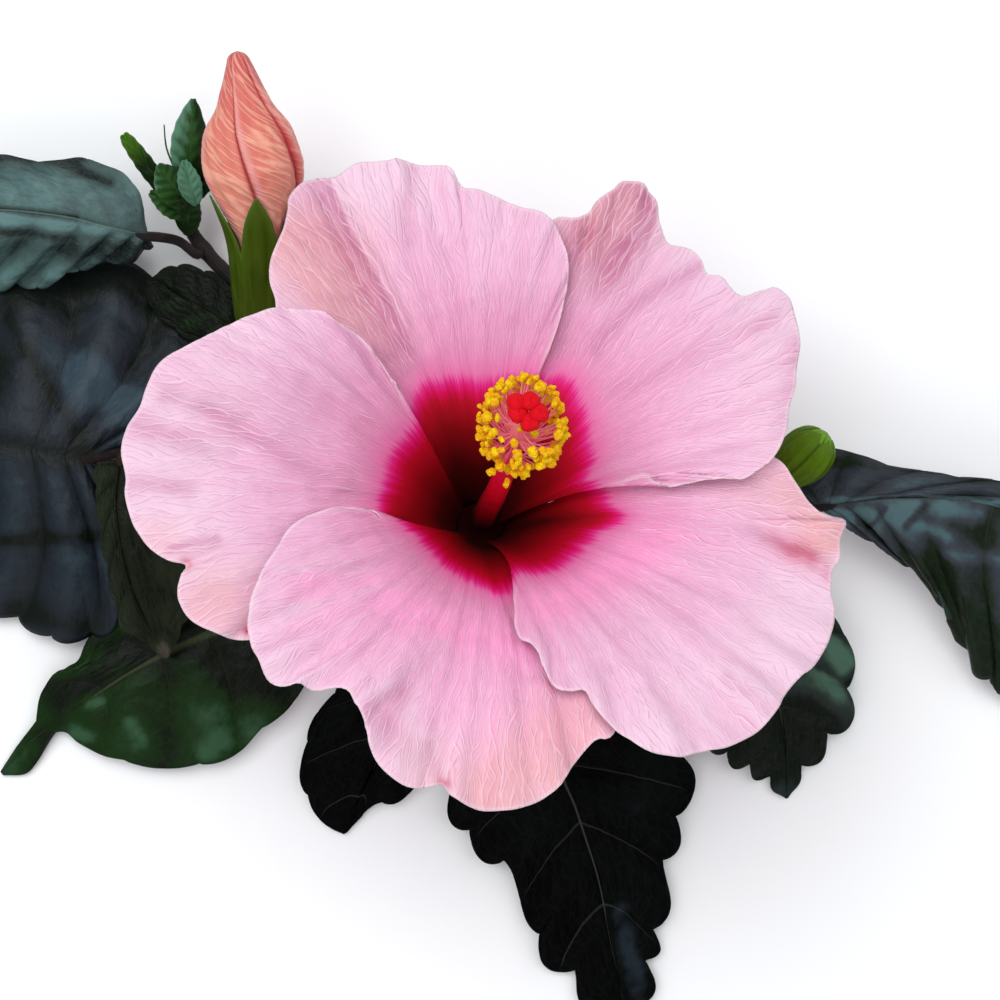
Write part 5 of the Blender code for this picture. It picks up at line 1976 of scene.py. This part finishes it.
LEAVES = (Leaf(
    "leaf_upper_left", Finish.TEAL_LEAF, "leaf", ("main_stem", 0.89), ((-64.5, 52, 10.2), (-68, 52.5, 13.8)),
    midrib=(
        (-70.5, 52.6, 15), (-76, 53.7, 18), (-84, 55.7, 19), (-92.4, 57, 18.5), (-100.2, 57.7, 17),
        (-112.3, 57.8, 12), (-124.9, 57.3, 6), (-135.7, 56.9, 1),
    ),
    left=(
        (-70.4, 51.9, 14.5), (-69.8, 50.3, 12), (-75.2, 48.2, 11), (-80.4, 47.6, 11), (-85.6, 46.3, 10),
        (-91.8, 43.6, 9), (-100.1, 42.9, 8), (-109.6, 43.6, 6.5), (-120.2, 47.3, 4.5), (-129.1, 51.8, 2),
        (-135.5, 56.5, 0.8),
    ),
    right=(
        (-70.7, 53.6, 15.5), (-70.8, 56.6, 17), (-71.6, 61.3, 18.5), (-74.2, 64.5, 19.5), (-78.2, 66, 20.5),
        (-82, 67.5, 21), (-86.3, 67, 20.5), (-90.3, 66.8, 20), (-98.8, 68.2, 19), (-108.6, 67.8, 15),
        (-118.8, 65.5, 10), (-128.3, 61.7, 5), (-135.4, 57.3, 1.2),
    ),
    painted_light_and_shade_bands=(
        (0.5, 6.5, -119.1, 61.5, -75.4, 60.5), (0.6, 1.3, -99.2, 56.2, -71.6, 52.4),
        (-0.8, 1, -88.5, 67.3, -77, 62.7), (-0.3, 1.6, -97, 50.5, -86, 50.5),
        (-0.9, 1.3, -99.2, 68.1, -82.3, 67.9), (-0.6, 0.7, -99.2, 57.7, -83.7, 55.8),
        (-0.7, 0.8, -99.2, 53.6, -88.3, 52.4), (-0.5, 2.6, -85.3, 50, -69.5, 50.4),
        (-0.6, 2, -75.4, 49.6, -68.5, 50.4), (0.25, 3, -99.2, 44.6, -87.3, 45.6),
    ),
    veins=8, teeth=(2, 1), tooth=(1.1, 0.3), quilt=0.7, pleat=0.7, arch=(0.10, 0.04), lag=2, soften=(1, 0.2),
), Leaf(
    "leaf_left", Finish.BLUE_LEAF, "leaf", ("left_twig", 1), ((-78.5, 9, 12.4),),
    midrib=(
        (-82.7, 8.2, 12.8), (-89.8, 9.4, 13.3), (-99.2, 11.2, 12.5), (-112.9, 12.1, 9.5), (-128.3, 10.2, 5),
        (-147.7, 6, 0.8),
    ),
    left=(
        (-81, 7.2, 12), (-77.5, 4, 10.5), (-76.1, -4, 8.5), (-75.6, -14.2, 6.5), (-76.9, -23.4, 5.5),
        (-81.6, -28.2, 4.5), (-90.8, -28.2, 4), (-99, -24.9, 3.5), (-108.3, -21.5, 3), (-120.7, -16.4, 2.5),
        (-133.2, -8.2, 2), (-142.6, 0, 1.3), (-147.5, 5.3, 0.8),
    ),
    right=(
        (-80.5, 8.4, 12.6), (-74, 10.5, 11.5), (-66.2, 16.5, 9.5), (-60.4, 25, 7), (-59.5, 34, 5.6), (-64.5, 42, 4.8),
        (-73, 47.4, 4.4), (-84, 49.6, 4.2), (-93, 50, 4), (-102.3, 49, 3.6), (-113.6, 44.6, 3), (-126.2, 36.4, 2.4),
        (-137, 24.5, 1.8), (-144.6, 12.3, 1.5), (-147.7, 6.6, 0.8),
    ),
    painted_light_and_shade_bands=(
        (0.9, 4, -86, 26.6, -75.5, 19.4), (-1, 5.5, -96.9, 43.4, -60.6, 45.4),
        (-0.4, 6.5, -65.6, 40.4, -62.6, 28.3), (0.3, 3.5, -95.3, 33.3, -91.2, 31.3),
        (0.25, 4, -80.7, 40.4, -72.7, 36.3), (-0.5, 2.6, -98.9, -22.2, -85.8, -25.8),
        (0.2, 6, -96.9, -16.1, -82.8, -15.1), (-0.7, 1.3, -100.9, -8.1, -78.7, -7.1),
        (0.1, 6, -96.9, 0, -84.8, 2), (-0.4, 2.5, -81.1, 12.1, -78.3, -4), (-0.5, 1.4, -82.2, 8.5, -99.1, 36.7),
    ),
    veins=7, teeth=(2, 2), tooth=(1.5, 1.2), quilt=1.1, pleat=0.5, lag=2.6, bend=0.2, rows=241,
), Leaf(
    "leaf_lower_left", Finish.GREEN_LEAF, "leaf", ("main_stem", 0.27),
    ((-16, -12.5, 5.2), (-28, -19, 6), (-40, -20.8, 6.4)),
    midrib=(
        (-47.9, -21.5, 6.4), (-55.8, -25.4, 6.5), (-62.9, -28.6, 6.5), (-69.6, -31.7, 6.3), (-74.6, -34.5, 6),
        (-81, -38.8, 5.4), (-89.6, -44.7, 4), (-97.1, -50.2, 2.2), (-102.3, -56.1, 0.8),
    ),
    left=(
        (-47.1, -22.3, 6.2), (-40.7, -28.5, 5.5), (-38.9, -35.6, 4.8), (-42.8, -41.8, 4.3), (-48.6, -47.1, 4),
        (-53.5, -51.5, 3.6), (-60.3, -54.1, 3.4), (-67.4, -54.7, 3.4), (-73.9, -53.9, 3.6), (-80.7, -52.3, 3.4),
        (-85.9, -49.4, 3), (-88.8, -47.4, 2.6), (-91.2, -48.2, 2), (-95, -53.4, 1.4), (-97.4, -56, 0.9),
        (-101.9, -56.5, 0.8),
    ),
    right=(
        (-48.5, -20.7, 6.4), (-55.8, -14.7, 6), (-65, -12.3, 5.4), (-74.2, -15.8, 4.4), (-80.9, -22.5, 3.4),
        (-84.4, -29, 3.6), (-86, -33, 4.2), (-90.5, -34.9, 4.2), (-93.3, -39.4, 3.6), (-94.9, -44.2, 2.8),
        (-98.4, -50, 1.6), (-102.5, -55.7, 0.8),
    ),
    painted_light_and_shade_bands=(
        (-0.7, 6, -61.1, -24.4, -48.9, -36.6), (-0.45, 3, -71.3, -28.5, -89.6, -40.7),
        (0.6, 7, -62.1, -43.8, -51.9, -45.8), (0.7, 2, -86.5, -47.4, -83.9, -48.5),
        (0.7, 1.4, -83.5, -41.3, -81, -40.7), (0.6, 1.9, -74.7, -45.2, -73.3, -48.5),
        (0.5, 2.4, -60.1, -51.3, -57, -49.9), (0.5, 3, -97, -50.5, -103, -57),
        (0.2, 4, -71.3, -50.9, -79.4, -47.8),
    ),
    veins=6, tooth=(0.8, 0.8), quilt=0.7, lag=1.9,
), Leaf(
    # Its near-black finish is partly painted shade under the bloom.
    "leaf_under_bloom", Finish.BLACK_LEAF, "leaf", ("main_stem", 0.20), ((-7, -21.5, 5),),
    midrib=(
        (-13, -28, 6), (-16.6, -34.9, 6.3), (-20.3, -42.7, 6), (-24.4, -52, 4.6), (-28.6, -60.8, 2.6),
        (-31.8, -68.2, 0.8),
    ),
    left=(
        (-12, -28.6, 5.9), (-9.2, -34.2, 5.4), (-9.2, -42.8, 4.8), (-12.2, -52, 4), (-16.8, -58.2, 3.2),
        (-21.5, -61.8, 2.6), (-26.2, -62.7, 2), (-29.1, -65.2, 1.3), (-31.6, -68.4, 0.8),
    ),
    right=(
        (-13.8, -27.6, 5.9), (-22.4, -30.5, 5.6), (-31.6, -36.6, 5), (-37.5, -44.1, 4), (-40.1, -51.1, 3.2),
        (-40.5, -58.3, 2.4), (-38.1, -64, 1.7), (-34.5, -67.3, 1.1), (-32, -68.6, 0.8),
    ),
    painted_light_and_shade_bands=((-0.3, 12, -20, -40, -30, -60),),
    veins=5, tooth=(0.8, 0.8), quilt=0.6, lag=1.9, rows=121,
), Leaf(
    "leaf_bottom", Finish.BLACK_LEAF, "leaf", ("main_stem", 0.11), ((8, -29, 4.6), (8.4, -35, 5.6)),
    midrib=(
        (8.3, -41.4, 6.6), (10.5, -49, 7.5), (13.1, -57.2, 8.2), (15, -61.5, 8.2), (17.6, -69.2, 7.7),
        (20.1, -77.3, 6.8), (22, -87.5, 5), (23.7, -95.3, 3.6), (25.4, -103.4, 2.2), (28.8, -116, 0.8),
    ),
    left=(
        (9.1, -41, 6.6), (18.3, -40.6, 6.8), (28.4, -43.6, 7), (35.7, -48.3, 6.6), (39.2, -54.8, 6),
        (37.8, -62.7, 5.2), (36.1, -68.9, 4.6), (34.3, -76.5, 4), (33.5, -84.8, 3.4), (32.3, -91, 2.9),
        (30.9, -97.2, 2.4), (30.7, -104.5, 1.8), (30.4, -110.8, 1.2), (29, -115.6, 0.8),
    ),
    right=(
        (7.7, -41.8, 6.4), (0, -43.7, 6.2), (-8.1, -47.8, 5.8), (-12.2, -53.9, 5.4), (-10.6, -61.1, 5),
        (-7.7, -68.2, 4.8), (-3.1, -72.8, 4.5), (1.6, -75.8, 4.3), (4.9, -82.7, 3.7), (6.5, -87.9, 3.2),
        (9.2, -94.1, 2.6), (14.7, -98.3, 2), (18.9, -104.6, 1.5), (24.2, -111.2, 1.1), (28.3, -115.8, 0.8),
    ),
    painted_light_and_shade_bands=(
        (0.75, 3, 24.6, -84, 28.6, -104), (-0.4, 9, -4.1, -67.2, 12.2, -93.6),
        (0.12, 5, 30.5, -57, 24.4, -67.2), (-0.15, 6, 20.4, -52.9, 12.2, -61.1),
    ),
    veins=6,
    notches=((0.16, 0.32, 0.469, 0.566, 0.711, 0.78, 0.87, 0.94), (0.15, 0.292, 0.39, 0.492, 0.654, 0.77, 0.86, 0.94),),
    tooth=(2.6, 2.6), quilt=0.9, pleat=0.4, lag=2.1, bend=0.05, rows=241,
), Leaf(
    "leaf_lower_right", Finish.MOSS_LEAF, "leaf", ("side_twig", 0.42), ((31, -8.5, 5.2), (39, -12, 6.6)),
    midrib=(
        (47.8, -14.6, 7.4), (51, -22.2, 8.2), (54.2, -31.3, 8.2), (56.4, -40.5, 7), (58.1, -49.9, 4.5),
        (58.9, -61.2, 0.8),
    ),
    left=(
        (48.6, -14.2, 7.4), (58.7, -15.8, 7.6), (66.4, -20.3, 7.4), (69.6, -26.8, 6.8), (71.5, -34.5, 6),
        (71.9, -41.7, 5), (69.7, -47.1, 4.2), (66.4, -50.7, 3.2), (63.1, -54.9, 2.2), (60.7, -58.5, 1.3),
        (59.1, -61, 0.8),
    ),
    right=(
        (47, -14.8, 7.2), (40.5, -20.3, 7), (37.3, -28.4, 6.8), (37.8, -38.6, 6.2), (41.3, -46.8, 5.4),
        (45.2, -52.4, 4.5), (50, -54.7, 3.4), (53.7, -57.4, 2), (56.6, -59.7, 1.2), (58.7, -61.2, 0.8),
    ),
    painted_light_and_shade_bands=(
        (0.7, 2, 66.6, -28.4, 70.3, -34.9), (0.55, 1.8, 63.4, -34.1, 68.7, -38.6),
        (-0.3, 3.6, 59.9, -41.6, 70.1, -45.7), (-0.8, 8, 47.7, -53.8, 58.9, -49.8),
        (-0.8, 4, 63.4, -52.8, 60.9, -44.7), (-0.7, 1.2, 71.1, -36.6, 71.7, -34.9),
        (-0.3, 1.5, 64, -30.5, 66.6, -26),
    ),
    veins=6, notches=((0.3, 0.585, 0.765, 0.89), (0.15, 0.3, 0.45, 0.6, 0.72, 0.81, 0.903)), tooth=(2.4, 2.8),
    quilt=1, pleat=0.4, lag=1.8,
), Leaf(
    "leaf_right", Finish.GREY_LEAF, "leaf", ("side_twig", 1), ((62, 1.2, 10),),
    midrib=(
        (64.3, -1.4, 14), (72.8, 0.2, 17), (79.7, 0.8, 18.5), (86.9, 0.8, 19.2), (93.8, 0.6, 19), (101.1, -1.2, 17.5),
        (109.7, -7, 14.5), (117.8, -18.1, 10), (122.6, -30.5, 5), (124.5, -43.9, 0.8),
    ),
    left=(
        (63.2, -0.8, 13.6), (60.2, 2.4, 12.6), (60.4, 7, 12.6), (65.3, 10.3, 14.8), (71.3, 8.9, 17.6),
        (78.9, 6.5, 19.5), (87.6, 5.1, 20.5), (95.5, 4.1, 20.5), (102.6, 2.6, 19.5), (111.1, -2, 17),
        (118.6, -11, 12.5), (123.3, -24.3, 7), (125, -34.7, 3.5), (124.7, -43.5, 0.8),
    ),
    right=(
        (64.8, -2.2, 13.6), (69.3, -4.6, 12.8), (75.2, -8.2, 12), (81.4, -11.7, 11), (85.8, -15.3, 10),
        (88.9, -21, 8.8), (91.6, -25.1, 8), (94.4, -29.4, 7.2), (96.6, -33.3, 6.5), (99.7, -37.4, 5.4),
        (105.1, -40.8, 4), (111.5, -44, 2.8), (118.9, -45.5, 1.6), (124.2, -44.4, 0.8),
    ),
    painted_light_and_shade_bands=(
        (-0.35, 1, 66.6, 7.6, 99.4, 4), (0.1, 2.2, 67.6, 4.4, 99.4, 1.6), (0.5, 0.8, 65.6, 0, 99.4, -0.6),
        (0.6, 2.2, 67.6, -2.4, 78.5, -3), (0.6, 1.5, 81.5, -1.4, 95, -2.4), (0.6, 1.3, 83.5, -5, 88.5, -7.4),
        (0.5, 1.4, 88.5, -10.8, 99.5, -11.8), (-0.8, 0.7, 84.2, -1, 80.4, -5),
        (-0.6, 0.6, 76.4, -1.8, 73.4, -5.4), (-0.5, 1.5, 89.5, -4.8, 97, -7.2),
        (-0.4, 2.2, 82, -9.5, 88.5, -14), (-0.7, 6, 87.5, -17.9, 99.4, -37.8),
        (-0.4, 1.8, 71.6, -5.4, 82.5, -12.9), (-0.2, 12, 101.4, -19.9, 111.4, -31.8),
    ),
    veins=8, notches=((), (0.447, 0.566, 0.64, 0.72, 0.8, 0.88)), tooth=(0.3, 2.2), quilt=0.9, pleat=0.5,
    arch=(0.05, 0.12), lag=2.6, soften=(0.5, 1), rows=241,
), Leaf(
    "leaf_young", Finish.BROWN_LEAF, "brown_leaf", ("left_twig", 0.93), ((-75, 9, 15.5),),
    midrib=(
        (-75.3, 7.6, 17), (-75.8, 0, 19.5), (-75, -7.9, 19.5), (-72.9, -17.8, 17.5), (-70.2, -24.9, 14.5),
        (-66.6, -31.9, 11),
    ),
    left=(
        (-74.7, 7.9, 17), (-69.3, 5.5, 17.5), (-63.8, -4, 18), (-61.2, -12.9, 16.5), (-61.4, -20.9, 14.5),
        (-64.1, -27, 12.8), (-66.7, -31.2, 11),
    ),
    right=(
        (-75.9, 7.9, 16.8), (-79.9, 6.5, 17), (-79.6, -3, 18), (-78.1, -11.9, 17.5), (-77, -18.9, 16),
        (-75.1, -25.6, 14), (-71.1, -28.7, 12.5), (-67.5, -31.6, 11),
    ),
    painted_light_and_shade_bands=(
        (0.7, 1.6, -67.5, -29.4, -66.9, -30.8), (0.3, 1.6, -74.4, -19.8, -73.4, -27.8),
        (-0.3, 2.5, -71.4, -11.9, -69.5, -19.8), (0.2, 3, -78.4, 6, -77, -4),
        (-0.3, 3, -75.8, 6.9, -74.4, -11.9),
    ),
    veins=6, tooth=(0.9, 0.9), quilt=0.6, lag=1.8, rows=141,
), Leaf(
    "leaf_behind_bud", Finish.GREEN_LEAF, "leaf", ("main_stem", 0.68), ((-46.8, 31.8, 9.8),),
    midrib=((-50.3, 32.6, 10.5), (-53.2, 34.1, 11.5), (-58.2, 37.3, 11.5), (-63.4, 40.6, 10.5), (-68.6, 44, 9)),
    left=(
        (-50.5, 31.8, 10.3), (-54.7, 30.2, 10.4), (-60.4, 31.2, 10), (-66.3, 34.7, 9.4), (-70.6, 39.3, 8.9),
        (-70.4, 43.4, 8.8),
    ),
    right=(
        (-49.9, 33.2, 10.5), (-51.5, 40.6, 10.8), (-55.9, 44.6, 10.8), (-61.4, 46.9, 10.2), (-66.5, 47.3, 9.4),
        (-70, 45, 8.9),
    ),
    painted_light_and_shade_bands=((-0.5, 12, -54, 38, -66, 44), (0.2, 2, -62, 36, -66, 40)),
    veins=5, tooth=(0.7, 0.7), quilt=0.4, rows=91,
))

PETALS = (Petal(
    "petal_upper_right", 38,
    margin=(
        (8, 17.6), (2, 19.9), (0, 23.1), (1, 27.1), (-2, 28.7), (-4, 31.1), (-3, 34.3), (-3, 40.1), (-3, 43.4),
        (-1, 45.4), (1, 47.7), (4, 49.7), (8, 51.6), (12, 53.1), (15, 55), (19, 56.8), (24, 59.6), (28, 61.1),
        (31, 61.7), (34, 60.9), (35, 58.6), (37, 55.3), (42, 54.8), (44, 53.6), (47, 55.1), (50, 55.6), (54, 54.7),
        (57, 56.3), (60, 59.9), (62, 60.8), (64, 61.3), (67, 60), (68, 57.8), (70, 54.7), (71, 51.9), (73, 50.1),
        (77, 49.3), (80, 47), (84, 43), (86, 37), (85, 30), (78, 19),
    ),
    folds=(
        mark(0.9, 1.2, (71, 51.9), (72, 45.2), (71, 39.6)), mark(1.1, 1.8, (64, 61), (63, 51.5), (62, 45.3)),
        mark(-0.9, 1.6, (46, 54.7), (46, 45.5)), mark(0.7, 1.5, (31, 61), (31, 51)),
        mark(-0.7, 1.8, (55, 55), (54, 46), (52, 38)), mark(0.5, 2.2, (20, 56), (22, 44), (24, 34)),
    ),
    blushes=(mark(0.9, 7, (66, 57)), mark(0.6, 7, (66, 46)), mark(0.5, 5, (72, 49))),
    painted_shading_marks=(
        mark(0.6, 2.6, (62.5, 59.8), (60, 56.9), (59.5, 52.3), (61, 45.5), (61.5, 39.8)),
        mark(0.5, 3, (72, 48), (72, 42.7), (68.5, 31.1), (67, 24)),
        mark(0.55, 1.7, (46.5, 54.4), (47, 51.4), (50, 45.2), (52, 39.8), (54.5, 31.1)),
        mark(0.3, 2, (29, 57), (31, 49.7), (32, 38.8), (38, 28.1)), mark(0.6, 5.5, (66, 58), (66, 46)),
        mark(0.3, 2.2, (23.5, 58.5), (13.5, 53.5), (8, 50.5)),
    ),
), Petal(
    "petal_top", 110,
    margin=(
        (74, 19), (70, 23.1), (69, 27), (69, 31), (70, 35.3), (71, 38.6), (73, 42.5), (76, 45.5), (78, 47.4),
        (81, 48.8), (86, 49.6), (90, 50.9), (94, 52.6), (97, 53.7), (98, 55.2), (99, 57.6), (104, 59.6), (107, 61),
        (111, 61.7), (114, 62.8), (117, 62.6), (119, 62.3), (121, 63.9), (124, 64.6), (127, 63.8), (128, 62.5),
        (131, 60), (134, 58.5), (137, 57), (140, 54.4), (142, 51.7), (144, 50.2), (149, 45), (151, 38), (151, 30),
        (149, 19),
    ),
    folds=(
        mark(1.5, 1.2, (119.5, 61.6), (120.6, 55), (121, 48), (121, 41), (121.4, 35), (123, 27), (124, 21)),
        mark(-1, 1.6, (122, 60), (123.2, 51.9), (124, 43.3), (125, 35.5), (127, 28), (128, 21)),
        mark(-0.8, 1.5, (105.5, 61), (105.5, 58.8), (108.5, 52.2), (111, 45.9)),
        mark(0.8, 2, (131, 60), (130, 48), (129, 36)), mark(-0.6, 1.4, (98, 55), (99, 44)),
        mark(-0.6, 1.6, (137, 56), (136, 44)),
    ),
    blushes=(mark(1, 8, (131, 57)), mark(0.8, 8, (128, 48)), mark(0.6, 7, (134, 42)), mark(0.5, 6, (130, 34))),
    painted_shading_marks=(
        mark(0.75, 9, (119.5, 62), (120.8, 51), (121, 42), (121.2, 35), (123, 26), right_only=True),
        mark(0.4, 1.4, (105.5, 58.8), (108.5, 52.2), (111, 45.9)), mark(-0.3, 2, (140, 44), (138, 34)),
    ),
    painted_ridge_highlights=(mark(0.97, 0.35, (119.3, 62), (120.5, 51), (120.6, 42), (120.8, 35), (122, 28)),),
), Petal(
    "petal_left", 182,
    margin=(
        (145, 19.7), (142, 21.2), (138, 25.7), (136, 31.9), (136, 36.9), (138, 40.8), (139, 44.3), (142, 47.4),
        (145, 50.6), (151, 54.4), (158, 58.9), (164, 64.2), (168, 65.4), (171, 65.9), (174, 67.5), (178, 68.3),
        (182, 67.4), (184, 67.7), (188, 67.2), (191, 66), (194, 64.1), (196, 61.7), (197, 59.4), (199, 61.3),
        (202, 62.9), (206, 62.4), (209, 60.3), (212, 57.3), (215, 53), (219, 46), (221, 39), (221, 30), (218, 19),
    ),
    folds=(
        mark(-0.9, 1.1, (197, 59.4), (196, 49.5)), mark(0.6, 2.4, (165, 62), (168, 48), (172, 34)),
        mark(-0.5, 1.8, (184, 66), (184, 50)),
    ),
    blushes=(mark(0.8, 7, (205, 57.5)), mark(0.5, 4, (192, 62.9))),
    nicks_and_painted_furrow_shades=(mark(1, 0.8, (212, 54.4)), mark(1, 1, (197, 59.6))),
    painted_shading_marks=(
        mark(0.45, 1.6, (168.5, 62), (170, 52.4), (178.5, 37.1), (182.5, 28)),
        mark(0.5, 2.6, (173.5, 65.6), (176, 56.7)), mark(0.5, 1.8, (182.5, 67), (184, 56.6)),
        mark(0.3, 3, (140.5, 40), (137, 32), (137, 24)), mark(0.3, 6, (171, 49), (163, 40.5), (152.5, 32.2)),
        mark(0.6, 1, (194, 61.4), (194, 57.1), (194, 53.3)),
    ),
    wines=(mark(3.5, 4, (201, 19.5)), mark(3, 4, (211, 19))),
), Petal(
    "petal_bottom", 254,
    margin=(
        (212, 18.1), (207, 19.7), (199, 23), (198, 24.9), (194, 26.1), (193, 28.3), (192, 32), (193, 35.7),
        (194, 38.5), (196, 41.5), (199, 43.8), (203, 47.9), (206, 50.9), (209, 53.4), (214, 56), (218, 57.4),
        (222, 58.2), (225, 56.6), (226, 54.9), (229, 53.7), (233, 50.6), (237, 51.5), (240, 53.2), (242, 55.8),
        (245, 58.1), (248, 59.6), (252, 60), (255, 58.7), (257, 57.8), (258, 59.5), (263, 61), (267, 61.3),
        (270, 60.7), (276, 58), (280, 54.1), (286, 50.5), (288, 51.1), (290, 50.1), (292, 47), (296, 42), (298, 36),
        (297, 28), (290, 19),
    ),
    folds=(
        mark(-0.9, 1.5, (240, 53), (243, 45.1), (244, 36)), mark(-0.7, 1.1, (257, 57.7), (257, 50)),
        mark(0.8, 2.2, (219, 56), (222, 44), (226, 34)), mark(0.8, 2.2, (270, 60), (268, 48), (265, 36)),
        mark(0.6, 1.6, (230, 52), (231, 42)),
    ),
    blushes=(mark(1, 9, (275, 52)), mark(0.7, 8, (284, 46)), mark(0.9, 7, (265, 58)), mark(0.4, 6, (253, 56))),
    nicks_and_painted_furrow_shades=(mark(1, 0.8, (257, 57.7)), mark(0.14, 2, (243, 50)), mark(0.12, 1.8, (243.5, 46.5))),
    painted_shading_marks=(
        mark(0.35, 1.2, (205, 45.8), (210.5, 35.6), (215, 27.7)),
        mark(0.3, 1.2, (213, 49.7), (218, 38.4), (225.5, 28.2)),
        mark(0.6, 1.8, (239, 52), (239, 50.4), (243.5, 44.8), (248, 34)), mark(0.4, 1.2, (256, 57.2), (253, 51.7)),
        mark(0.35, 3, (243.5, 51.7), (250, 53.8)), mark(0.3, 3.6, (244, 54), (245, 47)),
        mark(-0.3, 4, (208, 44), (214, 40)), mark(-0.5, 5, (226, 31.9), (249.5, 30.2), (273.5, 30.2)),
        mark(-0.25, 13, (222, 42), (250, 44), (275, 42)),
    ),
), Petal(
    "petal_lower_right", 326,
    margin=(
        (286, 16.6), (277, 20.5), (274, 23.3), (273, 26), (272, 28.7), (273, 31.4), (276, 32.8), (277, 34.9),
        (278, 38.4), (281, 41.3), (284, 42), (286, 42.8), (287, 47.2), (289, 50.4), (292, 54.6), (295, 58.4),
        (297, 59.9), (301, 60.9), (305, 62.7), (308, 63.5), (311, 64.1), (315, 63.8), (318, 63.2), (321, 63.3),
        (325, 64.5), (328, 64.9), (331, 64.7), (335, 64.2), (339, 61.9), (342, 61.1), (344, 61.9), (348, 61.6),
        (351, 62.2), (351, 59), (352, 56), (356, 53.2), (361, 50.6), (365, 46), (369, 40), (370, 32), (362, 19),
    ),
    folds=(
        mark(-1.1, 1.5, (346, 45), (345, 54.4), (344, 60.3)), mark(-0.7, 1.2, (313, 63.3), (313, 54)),
        mark(1, 1.8, (351, 60), (351, 50)), mark(0.7, 2.2, (330, 64), (328, 50), (325, 38)),
        mark(0.7, 2, (297, 58), (300, 46), (303, 36)),
    ),
    blushes=(
        mark(0.8, 6.5, (355, 53)), mark(1, 5, (349, 60.2)), mark(0.6, 3.5, (346, 57)), mark(0.35, 6, (358, 43)),
    ),
    nicks_and_painted_furrow_shades=(
        mark(0.24, 2.2, (345, 48.7)), mark(0.4, 2.4, (344, 51.8)), mark(0.5, 2.4, (343.5, 54.6)),
        mark(0.4, 1.8, (342.8, 57.4)), mark(0.3, 1.4, (341, 60.6)),
    ),
    painted_shading_marks=(
        mark(0.2, 2.2, (345, 45.4), (344, 52.4), (342, 58.8)), mark(0.4, 1.2, (313.5, 54), (314, 63.4)),
        mark(-0.75, 5, (286.5, 25), (317, 24.1), (334.5, 29.2)),
    ),
))


def foot_on(name: str, share: float, towards: Array) -> tuple[Array, Array]:
    """The first two points of a side piece on the stem of that name, at a share of its length."""
    return next(stem for stem in STEMS if stem.name == name).foot(share, towards)


def corners(bounds: Sequence[Any]) -> list[list[float]]:
    """A box's two corners as plain lists."""
    return [[float(number) for number in corner] for corner in bounds]


def main(cad_box: list[list[float]]) -> None:
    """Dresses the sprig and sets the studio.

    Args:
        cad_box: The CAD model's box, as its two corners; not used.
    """
    logging.basicConfig(level=logging.INFO, format="%(name)s: %(message)s")
    for part in (*STEMS, *LEAVES, *PETALS, Stamens(), BloomCalyx(), CORAL_BUD, GREEN_BUD, ShootTip(), Studio()):
        part.build()


if __name__ == "__main__":
    main(corners(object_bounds()))
